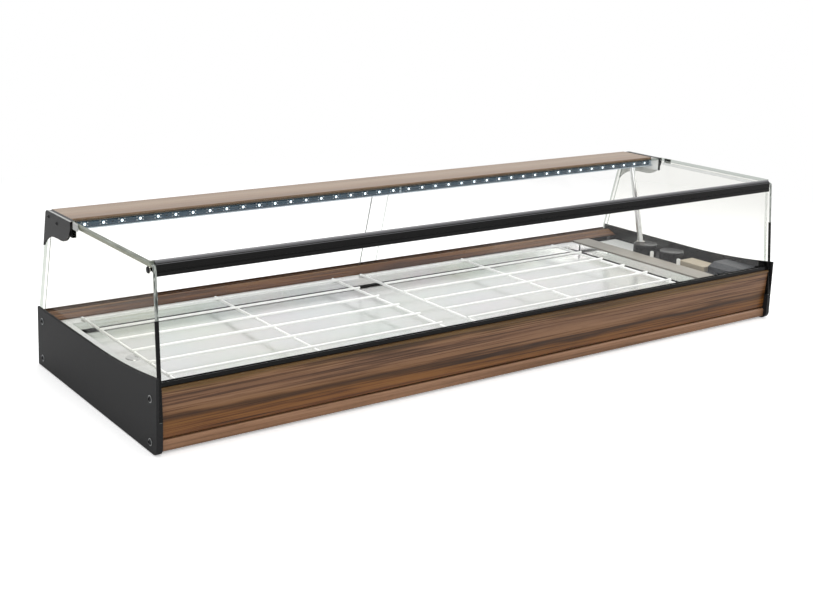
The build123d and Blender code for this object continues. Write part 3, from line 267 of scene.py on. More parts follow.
# Rolled metal: brushed, drawn or mill finish, told apart by the stretch of the scratches.
def drawnMetal(name, colour, darker, roughness, stretch, bumpDepth=0.00006, metallic=1.0):
    material, tree, output, coords = startMaterial(name)
    scratch = stretched(tree, coords, stretch)
    noise = addNode(tree, "TexNoise", {"Scale": 1.0, "Detail": 4.0, "Roughness": 0.6},
        {"Vector": scratch.outputs["Vector"]})
    cloud = addNode(tree, "TexNoise", {"Scale": 6.0, "Detail": 2.0}, {"Vector": coords.outputs["Object"]})
    shade = colourRamp(tree, noise.outputs["Fac"], [(0.30, darker), (0.62, colour)])
    cloudShade = addNode(tree, "Mix", {"data_type": "RGBA", "blend_type": "MULTIPLY", 0: 0.12},
        {6: shade.outputs["Color"], 7: cloud.outputs["Color"]})
    rough = addNode(tree, "MapRange", {"To Min": roughness - 0.06, "To Max": roughness + 0.08},
        {"Value": noise.outputs["Fac"]})
    bump = addNode(tree, "Bump", {"Strength": 0.2, "Distance": bumpDepth}, {"Height": noise.outputs["Fac"]})
    surface = addNode(tree, "BsdfPrincipled", {"Metallic": metallic},
        {"Base Color": cloudShade.outputs[2], "Roughness": rough.outputs["Result"],
        "Normal": bump.outputs["Normal"]})
    tree.links.new(surface.outputs["BSDF"], output.inputs["Surface"])
    return material


# Baked or dipped coats: smooth colour with a slight orange peel.
def coatedMetal(name, colour, roughness=0.3, peel=420.0, darker=None, depth=0.00012):
    material, tree, output, coords = startMaterial(name)
    skin = addNode(tree, "TexNoise", {"Scale": peel, "Detail": 2.0}, {"Vector": coords.outputs["Object"]})
    patch = addNode(tree, "TexNoise", {"Scale": 14.0, "Detail": 3.0}, {"Vector": coords.outputs["Object"]})
    shade = addNode(tree, "Mix",
        {"data_type": "RGBA", 6: linearColour(darker or colour), 7: linearColour(colour)},
        {0: patch.outputs["Fac"]})
    rough = addNode(tree, "MapRange", {"To Min": roughness - 0.05, "To Max": roughness + 0.07},
        {"Value": skin.outputs["Fac"]})
    bump = addNode(tree, "Bump", {"Strength": 0.2, "Distance": depth}, {"Height": skin.outputs["Fac"]})
    surface = addNode(tree, "BsdfPrincipled", {"IOR": 1.5},
        {"Base Color": shade.outputs[2], "Roughness": rough.outputs["Result"],
        "Normal": bump.outputs["Normal"]})
    tree.links.new(surface.outputs["BSDF"], output.inputs["Surface"])
    return material


# Lamp chips: a clear silicone dome over a white package, lit cool white.
def litLens(name, colour="#f4fbff", strength=1.6):
    material, tree, output, coords = startMaterial(name)
    spark = addNode(tree, "TexNoise", {"Scale": 600.0}, {"Vector": coords.outputs["Object"]})
    shade = colourRamp(tree, spark.outputs["Fac"], [(0.2, "#dfeef6"), (0.8, colour)])
    surface = addNode(tree, "BsdfPrincipled",
        {"Roughness": 0.2, "IOR": 1.41, "Emission Color": linearColour(colour),
        "Emission Strength": strength}, {"Base Color": shade.outputs["Color"]})
    tree.links.new(surface.outputs["BSDF"], output.inputs["Surface"])
    return material


# Poured polyurethane foam: cream with closed cells.
def pouredFoam(name):
    material, tree, output, coords = startMaterial(name)
    cells = addNode(tree, "TexVoronoi", {"Scale": 420.0}, {"Vector": coords.outputs["Object"]})
    shade = colourRamp(tree, cells.outputs["Distance"], [(0.0, "#d8cda8"), (0.6, "#efe7cf")])
    bump = addNode(tree, "Bump", {"Strength": 0.5, "Distance": 0.0006}, {"Height": cells.outputs["Distance"]})
    surface = addNode(tree, "BsdfPrincipled", {"Roughness": 0.85},
        {"Base Color": shade.outputs["Color"], "Normal": bump.outputs["Normal"]})
    tree.links.new(surface.outputs["BSDF"], output.inputs["Surface"])
    return material


# zone colours: the wood's figure together with painted reflection and shade bands by height; the
# upward-facing skirting is painted lighter, as if lit from above
panelFigureAndLightZones = [
    (0.0, "#6e4726"), (0.14, "#7a5126"), (0.26, "#6e481c"), (0.34, "#3e250a"), (0.38, "#4e3114"),
    (0.43, "#775638"),
    (0.58, "#7f5f46"), (0.70, "#6c4e38"), (0.80, "#7f5f44"), (0.90, "#614822"), (1.0, "#573f1a"),
]
skirtFigureAndLightZones = [(0.0, "#74553c"), (0.5, "#8a684e"), (1.0, "#927056")]
sillFigureAndLightZones = [(0.0, "#4a2e16"), (0.5, "#6e4826"), (1.0, "#7c5730")]
boardFigureAndLightZones = [(0.0, "#7a6450"), (0.3, "#866e59"), (0.6, "#937f6b"), (1.0, "#7f6853")]
# the side glass edge's dark and pale streaks are partly painted reflection of the black cheeks seen inside
# the glass
sideEdgeWithReflection = [(0.30, "#1c1f1d"), (0.44, "#5b605b"), (0.56, "#a3a8a3"), (0.68, "#363b37")]
topEdge = [(0.32, "#5f645c"), (0.5, "#83887c"), (0.7, "#a5aa9e")]
frontEdge = [(0.32, "#3d423e"), (0.5, "#6f746e"), (0.7, "#a4a9a2")]
# painted light on the front top profile: highlight lines, a lighter bevel standing in for its reflection, and
# painted shade in the groove
profileHighlightAndShadeBands = [
    (0.2660, "#0b0b0b"), (0.2855, "#0b0b0b"), (0.2858, "#58585a"), (0.2864, "#58585a"), (0.2866, "#060606"),
    (0.2874, "#060606"),
    (0.2876, "#3c3c3e"), (0.2900, "#5c5c5e"), (0.2904, "#7c7c7e"), (0.2920, "#7c7c7e"),
]
finish = {
    "panel": walnutFoil("walnutFoilPanel", panelFigureAndLightZones, reach=(0.022, 0.104)),
    "skirting": walnutFoil("walnutFoilSkirting", skirtFigureAndLightZones, reach=(0.004, 0.021), shift=0.37, contrast=0.4),
    "sill": walnutFoil("walnutFoilSill", sillFigureAndLightZones, reach=(0.088, 0.098), shift=0.83),
    "board": walnutFoil("walnutFoilCanopy", boardFigureAndLightZones, axis="Y", reach=(0.104, 0.190), shift=1.31, gloss=0.3,
        contrast=0.35),
    "sideGlass": floatGlass("temperedGlassSide", (1.0, 0.0, 0.0), sideEdgeWithReflection, (500.0, 60.0, 60.0), "#fafaf8"),
    "topGlass": floatGlass("temperedGlassTop", (0.0, 0.0, 1.0), topEdge, (25.0, 25.0, 700.0)),
    "frontGlass": floatGlass("temperedGlassFront", (0.0, 1.0, 0.0), frontEdge, (60.0, 500.0, 60.0)),
    "doorGlass": floatGlass("temperedGlassDoor", (0.0, 1.0, 0.0), frontEdge, (60.0, 500.0, 60.0)),
    "cheek": mouldedPlastic("sparkErodedAbs", "#181819", 0.55),
    "cap": mouldedPlastic("glassFilledNylon", "#0a090b", 0.24, 900.0, lighter="#100f12", sheen=0.2),
    "beige": mouldedPlastic("unfilledAbsBeige", "#a79c88", 0.45, 900.0, lighter="#bdb29e"),
    "clip": mouldedPlastic("nylonNatural", "#e4e4df", 0.35, 900.0, lighter="#f0f0ec"),
    "extrusion": dieLinedPlastic("extrudedPvcBlack"),
    "brownExtrusion": dieLinedPlastic("extrudedPvcBrown", "#4c3421"),
    "topProfile": dieLinedPlastic("extrudedPvcBlackPaintedHighlights", paintedLightBands=profileHighlightAndShadeBands),
    "bracketRight": mouldedPlastic("mouldedAbsBlackLined", "#0e0e0f", 0.36, 1200.0, lighter="#131314",
        linerAxis=(-1.0, 0.0, 0.0), lugEdge=0.0716),
    "bracketLeft": mouldedPlastic("mouldedAbsBlackLinedLeft", "#0e0e0f", 0.36, 1200.0, lighter="#131314",
        linerAxis=(1.0, 0.0, 0.0), lugEdge=0.0716),
    "greyTrim": mouldedPlastic("mouldedAbsGrey", "#9a9b9a", 0.35, 1200.0, lighter="#aeb0ae"),
    "stainless": drawnMetal("brightStainless", "#eceeec", "#e2e4e1", 0.17, (2.0, 420.0, 420.0),
        bumpDepth=0.00002),
    "tube": drawnMetal("polishedStainlessTube", "#d9dad8", "#bdbfbd", 0.12, (900.0, 900.0, 6.0)),
    "zinc": drawnMetal("zincPlatedSheet", "#b9bcbd", "#8f9394", 0.42, (40.0, 40.0, 40.0)),
    "fins": drawnMetal("millFinishAluminium", "#c8cacb", "#a3a6a8", 0.34, (300.0, 300.0, 12.0)),
    "anodised": drawnMetal("anodisedAluminium", "#c3cfd6", "#aebcc4", 0.36, (3.0, 1100.0, 1100.0)),
    "copper": drawnMetal("drawnCopper", "#c98a5e", "#9a5c36", 0.3, (60.0, 60.0, 60.0)),
    "screw": drawnMetal("blackOxideSteel", "#3a3a3c", "#1d1d1f", 0.38, (500.0, 500.0, 500.0)),
    "washer": drawnMetal("zincPlatedWasher", "#a9abac", "#7d8081", 0.35, (500.0, 500.0, 500.0)),
    "ring": drawnMetal("nickelPlatedBrass", "#d8d5cf", "#b7b3ac", 0.2, (300.0, 300.0, 300.0)),
    "wire": coatedMetal("polyamideDippedWire", "#fdfdfb", 0.3, 700.0, "#f4f5f2"),
    "whitePanel": coatedMetal("whitePowderCoat", "#f4f5f2", 0.4, 500.0, "#e9ebe7"),
    "capSheet": coatedMetal("warmGreyPowderCoat", "#9c968c", 0.4, 500.0, "#8d887e"),
    "greyPanel": coatedMetal("greyPowderCoat", "#2a2c2e", 0.45, 500.0, "#222426"),
    "deck": coatedMetal("darkPowderCoat", "#0f1011", 0.55, 500.0, "#0a0b0b"),
    "darkPlate": coatedMetal("slateEnamel", "#2b2e33", 0.42, 500.0, "#24272b"),
    "shell": coatedMetal("blackStoveEnamel", "#121214", 0.28, 350.0, "#0d0d0e"),
    "mask": coatedMetal("tealSolderMask", "#0c3b50", 0.3, 900.0, "#082c3d"),
    "solder": drawnMetal("solderTin", "#c9cdd0", "#9aa0a4", 0.3, (900.0, 900.0, 900.0)),
    "chipShell": mouldedPlastic("palePhosphorShell", "#8fb9cc", 0.35, 1500.0, lighter="#a6cbdc"),
    "sealLeft": mouldedPlastic("curedSiliconeLeft", "#85877c", 0.3, 900.0, lighter="#a3a598",
        linerAxis=(1.0, 0.0, 0.0)),
    "sealRight": mouldedPlastic("curedSiliconeRight", "#85877c", 0.3, 900.0, lighter="#a3a598",
        linerAxis=(-1.0, 0.0, 0.0)),
    "chipBlack": mouldedPlastic("epoxyChipBlack", "#131315", 0.4, 1500.0),
    "rubber": mouldedPlastic("nitrileRubber", "#0c0c0c", 0.55, 500.0, lighter="#121212"),
    "white": mouldedPlastic("printedWhite", "#d9dad8", 0.5, 900.0, lighter="#e4e5e3"),
    "lens": litLens("litSiliconeLens"),
    "foam": pouredFoam("pouredPolyurethane"),
}
finishOf = {
    "base_pan": "zinc", "bracket_screws": "screw", "cable_gland": "cap", "canopy_board": "board",
    "canopy_profile": "anodised",
    "cheek_screws": "screw", "compressor": "shell", "condenser": "fins", "control_plate": "darkPlate",
    "deck_clips": "clip",
    "deck_rear_cover": "whitePanel", "discharge_pipe": "copper", "door_bottom_track": "brownExtrusion",
    "door_top_track": "extrusion",
    "drain_spigot": "tube", "evaporator_coil": "copper", "fan_frame": "cap", "fan_rotor": "cap",
    "feet": "rubber",
    "filter_drier": "copper", "front_glass": "frontGlass", "front_panel": "panel",
    "front_skirting": "skirting",
    "front_top_profile": "topProfile", "glazing_channel": "extrusion", "insulation": "foam",
    "lamp_driver": "beige",
    "lamp_strip_left": "mask", "lamp_strip_right": "mask", "lamps": "lens", "left_cheek": "cheek",
    "left_door": "doorGlass",
    "left_end_bracket": "bracketLeft", "left_grid": "wire", "left_side_glass": "sideGlass",
    "machine_deck": "deck",
    "machine_partition": "capSheet", "profile_bolts": "cap", "rear_panel": "greyPanel", "rear_sill": "sill",
    "relay_cap": "cap",
    "right_cheek": "cheek", "right_door": "doorGlass", "right_end_bracket": "bracketRight",
    "right_grid": "wire",
    "right_side_glass": "sideGlass", "start_capacitor": "cap", "switch_body": "cap", "switch_rocker": "cap",
    "thermostat": "zinc",
    "thermostat_knob": "cap", "top_glass": "topGlass", "tube_collar": "ring", "well": "stainless",
    "wiring_tube": "tube",
}
for nodeName, finishName in finishOf.items():
    mesh = nodes[nodeName].data
    mesh.materials.clear()
    mesh.materials.append(finish[finishName])
print("finishes on", len(finishOf), "nodes")


# Shapes are numpy surfaces: a profile carried along a path or around an axis, as rows of points.
# Quads between neighbouring rows: point (i, j) joins (i, j + 1), (i + 1, j + 1) and (i + 1, j).
def rowFaces(rows, columns):
    i, j = np.meshgrid(np.arange(rows - 1), np.arange(columns), indexing="ij")
    k = (j + 1) % columns
    quads = np.stack((i * columns + j, i * columns + k, (i + 1) * columns + k, (i + 1) * columns + j),
        axis=-1)
    return [tuple(quad) for quad in quads.reshape(-1, 4).tolist()]


# The circle that both shapes below carry along: cos(angle) * across + sin(angle) * beside.
def circleAround(axis, sides):
    across = np.cross(axis, (0.0, 0.0, 1.0) if abs(axis[2]) < 0.9 else (1.0, 0.0, 0.0))
    across /= np.linalg.norm(across)
    beside = np.cross(axis, across)
    angles = np.linspace(0, 2 * math.pi, sides, endpoint=False)
    return np.outer(np.cos(angles), across) + np.outer(np.sin(angles), beside)


# A straight rod whose ends are dished: each end's rings run from one radius deep on the axis out to the
# full radius at the end, radius * (1 - sin(turn)) inward and radius * sin(turn) across.
def rodShape(start, end, radius, sides=20, round=4):
    start, end = np.array(start, float), np.array(end, float)
    along = (end - start) / np.linalg.norm(end - start)
    circle = circleAround(along, sides)
    turns = [math.pi / 2 * i / round for i in range(round + 1)]
    dish = [(radius * (1 - math.sin(turn)),
        radius * max(math.cos(math.pi / 2 - turn), 0.02)) for turn in turns]
    rings = [start + along * depth + circle * across for depth, across in dish]
    rings += [end - along * depth + circle * across for depth, across in reversed(dish)]
    faces = rowFaces(len(rings), sides)
    faces.append(tuple(range(sides - 1, -1, -1)))
    faces.append(tuple(range((len(rings) - 1) * sides, len(rings) * sides)))
    return np.concatenate(rings), faces


# A turned shape: centre + height * axis + radius * circle, for each (radius, height) of the profile.
def turnedShape(profile, centre, axis, sides=40):
    axis, centre = np.array(axis, float), np.array(centre, float)
    circle = circleAround(axis, sides)
    rings = [centre + axis * height + circle * max(radius, 1e-5) for radius, height in profile]
    return np.concatenate(rings), rowFaces(len(rings), sides)


# A block with rounded edges: the unit block stretched from low to high, then bevelled.
def blockShape(low, high, bevel=0.0006, steps=2):
    shape = bmesh.new()
    bmesh.ops.create_cube(shape, size=1.0)
    low, high = np.array(low, float), np.array(high, float)
    for vert in shape.verts:
        vert.co = Vector((low + high) / 2 + np.array(vert.co) * (high - low))
    bmesh.ops.bevel(shape, geom=list(shape.edges), offset=bevel, segments=steps, affect="EDGES", profile=0.5)
    shape.verts.ensure_lookup_table()
    verts = np.array([tuple(vert.co) for vert in shape.verts])
    faces = [tuple(vert.index for vert in face.verts) for face in shape.faces]
    shape.free()
    return verts, faces


# one object from many shapes
def addPiece(name, shapes, body, finishName, replaced=(), angle=35.0):
    verts, faces, count = [], [], 0
    for shapeVerts, shapeFaces in shapes:
        verts.append(shapeVerts)
        faces += [tuple(i + count for i in face) for face in shapeFaces]
        count += len(shapeVerts)
    mesh = bpy.data.meshes.new(name)
    mesh.from_pydata(np.concatenate(verts).tolist(), [], faces)
    mesh.update()
    mesh.polygons.foreach_set("use_smooth", [True] * len(mesh.polygons))
    mesh.set_sharp_from_angle(angle=math.radians(angle))
    mesh.materials.append(finish[finishName])
    piece = bpy.data.objects.new(name, mesh)
    bpy.context.scene.collection.objects.link(piece)
    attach(piece, body)
    if replaced:
        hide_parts(*replaced)
    return piece


# Welded grids: round wires across three rails, with a flattened weld nugget at each crossing.
gridLook = {
    "rail": 0.0050, "wire": 0.0046, "depth": 0.325, "wires": 6, "rails": 3, "nugget": (0.0028, 0.0021),
    "sides": 24,
}


def buildGrid(side):
    look = gridLook
    low, high = (np.array(v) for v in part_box(side + "_grid"))
    railX = np.linspace(low[0] + (look["wire"] + look["rail"]) / 2,
        high[0] - (look["wire"] + look["rail"]) / 2, look["rails"])
    middle = (low[1] + high[1]) / 2
    wireY = middle + np.linspace(-1, 1, look["wires"]) * (look["depth"] - look["wire"]) / 2
    railZ = low[2] + look["rail"] / 2
    wireZ = high[2] - look["wire"] / 2
    shapes = [rodShape((x, low[1], railZ), (x, high[1], railZ), look["rail"] / 2,
        look["sides"]) for x in railX]
    shapes += [rodShape((low[0], y, wireZ), (high[0], y, wireZ), look["wire"] / 2,
        look["sides"]) for y in wireY]
    for x in railX:
        for y in wireY:
            nugget = [(look["nugget"][0] * math.sin(t),
                look["nugget"][1] * -math.cos(t)) for t in np.linspace(0.05, math.pi - 0.05, 9)]
            shapes.append(turnedShape(nugget, (x, y, (railZ + wireZ) / 2), (0, 0, 1), 16))
    addPiece(side + "_grid_wires", shapes, side + "_grid", "wire", [side + "_grid"])


for side in ("left", "right"):
    buildGrid(side)
print("grids welded")


# Button-head screws: a low dome over a zinc washer, with a round socket.
screwLook = {
    "inset": 0.023, "low": 0.017, "high": 0.084, "head": 0.0046, "washer": 0.0058, "height": 0.0024,
    "socket": 0.0021, "seat": 0.0001, "bracketInset": 0.0032, "bracketSize": 0.66,
}


def screwShapes(place, axis, look, size=1.0):
    place, axis = np.array(place, float), np.array(axis, float)
    dome = [(look["head"] * size * math.sin(t),
        look["height"] * size * (0.25 + 0.75 * math.cos(t))) for t in np.linspace(math.pi / 2, 0.48, 9)]
    rim = [(look["head"] * size, 0.0)] + dome
    inner = look["socket"] * size
    rim += [(inner, rim[-1][1] - 0.0001), (inner, 0.0006 * size), (0.0, 0.0005 * size)]
    washer = [(look["head"] * size * 0.9, 0.00062), (look["washer"] * size - 0.0002, 0.00062),
        (look["washer"] * size, 0.0004), (look["washer"] * size, 0.0)]
    return turnedShape(rim, place, axis, 36), turnedShape(washer, place, axis, 36)


def buildScrews():
    look = screwLook
    heads, washers = [], []
    for side in (-1, 1):
        for y in (cadLow[1] + look["inset"], cadHigh[1] - look["inset"]):
            for z in (look["low"], look["high"]):
                head, washer = screwShapes((side * (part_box("right_cheek")[1][0] - look["seat"]), y, z),
                    (side, 0, 0), look)
                heads.append(head)
                washers.append(washer)
    addPiece("cheek_screw_heads", heads, "case", "screw", ["cheek_screws"])
    addPiece("cheek_screw_washers", washers, "case", "washer")
    low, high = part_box("bracket_screws")
    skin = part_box("right_end_bracket")[1][0]
    small, inset = [], look["bracketInset"]
    for side in (-1, 1):
        for y, z in ((low[1] + inset, low[2] + inset), (high[1] - inset, high[2] - inset)):
            small.append(screwShapes((side * (skin - look["seat"]), y, z), (side, 0, 0), look,
                look["bracketSize"])[0])
    addPiece("bracket_screw_heads", small, "case", "screw", ["bracket_screws"])


buildScrews()


# Profile bolts: a dark cap, a bright collar and a shank that shines through the glass.
def buildBolts():
    low, high = (np.array(v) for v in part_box("profile_bolts"))
    centre = (low + high) / 2
    radius = (high[2] - low[2]) / 2
    caps, collars = [], []
    for side in (-1, 1):
        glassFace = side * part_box("right_side_glass")[1][0]
        place = (glassFace, centre[1], centre[2])
        reach = high[0] - abs(glassFace)
        cap = [(radius * 0.86, reach * 0.3)] + [(radius * math.sin(t),
            reach * (0.4 + 0.6 * math.cos(t))) for t in np.linspace(1.5, 0.02, 9)]
        collar = [(radius * 0.55, 0.0), (radius * 0.98, 0.0), (radius, reach * 0.12),
            (radius * 0.98, reach * 0.28), (radius * 0.6, reach * 0.33)]
        shank = [(radius * 0.46, 0.0), (radius * 0.46, -0.0060), (radius * 0.9, -0.0061),
            (radius * 0.9, -0.0085), (0.0, -0.0086)]
        caps.append(turnedShape(cap, place, (side, 0, 0), 40))
        collars += [turnedShape(collar, place, (side, 0, 0), 40), turnedShape(shank, place, (side, 0, 0), 32)]
    addPiece("bolt_caps", caps, "case", "cap", ["profile_bolts"])
    addPiece("bolt_collars", collars, "case", "ring")


buildBolts()


# Pots on the machine deck: moulded cans with a rolled rim and a thin bright ring that paints the highlight
# along the rim.
def buildPots():
    for node in ("relay_cap", "start_capacitor"):
        low, high = (np.array(v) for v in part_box(node))
        centre = (low + high) / 2
        radius, tall = (high[0] - low[0]) / 2, high[2] - low[2]
        profile = [(radius, 0.0), (radius, tall - 0.0042), (radius - 0.0006, tall - 0.0038),
            (radius - 0.0006, tall - 0.0030)]
        profile += [(radius - 0.0012 + 0.0012 * math.sin(t),
            tall - 0.0012 + 0.0012 * math.cos(t)) for t in np.linspace(1.57, -1.2, 9)]
        profile += [(radius - 0.0024, tall - 0.0012), (radius - 0.0030, tall - 0.0015), (0.0, tall - 0.0015)]
        addPiece(node + "_can", [turnedShape(profile, (centre[0], centre[1], low[2]), (0, 0, 1), 72)], "case",
            "cap", [node])
        # the bright ring is a painted highlight on each pot's rim
        glintRing = [(radius - 0.0013 + 0.0008 * math.sin(t),
            tall - 0.0008 + 0.0008 * math.cos(t)) for t in np.linspace(1.3, -1.3, 7)]
        addPiece(node + "_glint_ring", [turnedShape(glintRing, (centre[0], centre[1], low[2]), (0, 0, 1), 72)], "case",
            "tube")


buildPots()


# Lamp strips: a silicone dome on each pale package, with solder pads beside it and resistors between.
lampLook = {
    "count": 41, "package": 0.0050, "pad": (0.0022, 0.0014), "resistor": (0.0032, 0.0016), "padGap": 0.0030,
    "padDrop": 0.0026, "lift": 0.0003, "joint": 0.004, "dome": (0.0022, 0.0005), "stand": 0.0011,
}


def buildLamps():
    look = lampLook
    low, high = (np.array(v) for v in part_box("lamps"))
    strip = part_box("lamp_strip_left")
    face = strip[0][1]
    joint = (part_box("lamp_strip_left")[1][0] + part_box("lamp_strip_right")[0][0]) / 2
    pitch = (high[0] - low[0] - look["package"] - look["joint"]) / (look["count"] - 1)
    z = (low[2] + high[2]) / 2
    packages, domes, pads, resistors = [], [], [], []
    for i in range(look["count"]):
        x = low[0] + look["package"] / 2 + i * pitch
        x += look["joint"] if x > joint else 0.0
        h = look["package"] / 2
        packages.append(blockShape((x - h, face - look["stand"], z - h), (x + h, face + 0.0001, z + h),
            0.0004))
        dome = [(look["dome"][0] * math.sin(t),
            look["stand"] + look["dome"][1] * math.cos(t)) for t in np.linspace(1.57, 0.03, 7)]
        domes.append(turnedShape(dome, (x, face, z), (0, -1, 0), 28))
        for side in (-1, 1):
            edge = x + side * (h + look["padGap"])
            w, t = look["pad"][0] / 2, look["pad"][1] / 2
            for drop in (-look["padDrop"], look["padDrop"]):
                pads.append(blockShape((edge - w, face - look["lift"], z + drop - t),
                    (edge + w, face + 0.0001, z + drop + t), 0.00012, 1))
        if i % 3 == 1:
            w, t = look["resistor"][0] / 2, look["resistor"][1] / 2
            rx = x + pitch / 2
            resistors.append(blockShape((rx - w, face - 0.0006, z - t), (rx + w, face + 0.0001, z + t),
                0.00015, 1))
    addPiece("lamp_packages", packages, "case", "chipShell", ["lamps"])
    addPiece("lamp_domes", domes, "case", "lens")
    addPiece("lamp_pads", pads, "case", "solder")
    addPiece("lamp_resistors", resistors, "case", "chipBlack")


buildLamps()


# Seals: black beads in the well's corners that paint the shade line there, the gasket in the slot, also its
# painted shade, bond strips under the top glass, partly a painted reflection of the glass top, and black
# strips on the side glasses' front edges that paint the cheeks' reflection seen inside the glass.
sealLook = {
    "foot": 0.0030, "side": 0.0014, "trayLeft": 0.037, "trayRight": 0.0016, "trayFront": 0.062,
    "trayRear": 0.072, "trayDepth": 0.018, "bite": 0.0002, "bondLow": 0.2772, "bondHigh": 0.2832,
    "bondFront": -0.205, "bondRear": 0.070, "bondThick": 0.0008, "reflectionStripTop": 0.204, "reflectionStripWrap": 0.0016,
    "reflectionStripProud": 0.0006, "reflectionStripRows": 12, "gap": 0.0001,
}


def buildSeals():
    look = sealLook
    low, high = (np.array(v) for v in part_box("well"))
    left, right = cadLow[0] + look["trayLeft"], high[0] - look["trayRight"]
    front, rear = cadLow[1] + look["trayFront"], cadHigh[1] - look["trayRear"]
    floor = high[2] - look["trayDepth"]
    f, t, bite = look["foot"], look["side"], look["bite"]
    # the black beads paint the shade line along the well's rear foot and right-hand corners
    shapes = [
        rodShape((left + f, rear - 2 * bite, floor + 0.001), (right - f, rear - 2 * bite, floor + 0.001), f,
            18),
        rodShape((right - bite, front + f, floor + 2 * bite), (right - bite, rear - f, floor + 2 * bite), t,
            14),
        rodShape((right - bite, rear - bite, floor), (right - bite, rear - bite, high[2] - 3 * bite), t * 0.8,
            14),
    ]
    addPiece("well_shade_beads", shapes, "case", "rubber")
    # the black gasket is also painted shade in the slot between the well and the partition
    capLow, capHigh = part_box("machine_partition")
    gasket = blockShape((high[0] + 0.0001, low[1] + 0.001, high[2] - 0.006),
        (capLow[0] - 0.0001, capHigh[1] - 0.001, high[2] - 0.0008), 0.0012)
    addPiece("slot_gasket_and_shade", [gasket], "case", "rubber")
    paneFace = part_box("right_side_glass")[0][0]
    # the grey bond strips are partly silicone and partly a painted reflection of the side glass's top edge
    # seen through its face
    for side, name in ((-1, "Left"), (1, "Right")):
        ends = sorted((side * (paneFace - look["gap"]), side * (paneFace - look["gap"] - look["bondThick"])))
        bond = blockShape((ends[0], look["bondFront"], look["bondLow"]),
            (ends[1], look["bondRear"], look["bondHigh"]), 0.0003, 1)
        addPiece("bond_reflection_strip_" + name.lower(), [bond], "case", "seal" + name)
    sideMesh = bpy.data.objects["right_side_glass"].data
    points = np.empty(len(sideMesh.vertices) * 3)
    sideMesh.vertices.foreach_get("co", points)
    points = points.reshape(-1, 3)
    footZ, topZ = points[:, 2].min(), points[:, 2].max()
    footY = points[points[:, 2] < footZ + 0.001][:, 1].min()
    crown = points[points[:, 2] > topZ - 0.012]
    crown = crown[np.argmin(crown[:, 1])]
    lean = (crown[1] - footY) / (crown[2] - footZ)
    # the black strips on the side glasses' front edges paint the reflection of the black cheeks seen inside
    # the glass edge
    inner, outer = paneFace - bite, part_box("right_side_glass")[1][0] + bite
    wrap, proud, rowCount = look["reflectionStripWrap"], look["reflectionStripProud"], look["reflectionStripRows"]
    ring = [(inner, wrap), (inner, -bite), (inner + 0.0005, -proud), (outer - 0.0005, -proud), (outer, -bite),
        (outer, wrap)]
    levels = np.linspace(footZ + 0.001, look["reflectionStripTop"], rowCount)
    frontLine = footY + lean * (levels - footZ)
    ends = [tuple(range(len(ring)))[::-1], tuple(range((rowCount - 1) * len(ring), rowCount * len(ring)))]
    reflectionStrips = []
    for side in (-1, 1):
        rows = [np.column_stack((np.full(rowCount, side * x), frontLine + dy, levels)) for x, dy in ring]
        verts = np.stack(rows, axis=1).reshape(-1, 3)
        faces = rowFaces(rowCount, len(ring)) + ends
        reflectionStrips.append((verts, [face[::-1] for face in faces] if side < 0 else faces))
    addPiece("edge_reflection_strips", reflectionStrips, "case", "extrusion")


buildSeals()


# Small fittings: glass clips, the brackets' grey cover strip, the drain strainer, panel screws and the dial.
fittingLook = {
    "clipFront": 0.054, "clipRear": 0.072, "clipFoot": 0.2785, "clipTop": 0.2910, "clipThick": 0.0035,
    "gap": 0.0001, "strip": 0.0012, "stripWide": 0.0030, "stripShort": 0.022, "panelStep": 0.014,
    "panelScrews": 8, "panelInset": 0.055, "panelDrop": 0.012, "panelSize": 0.7, "ticks": 8, "sweep": 300,
    "tickInner": 0.0192, "tickOuter": 0.0218, "endTick": 0.0008, "pointer": (0.004, 0.0125),
}


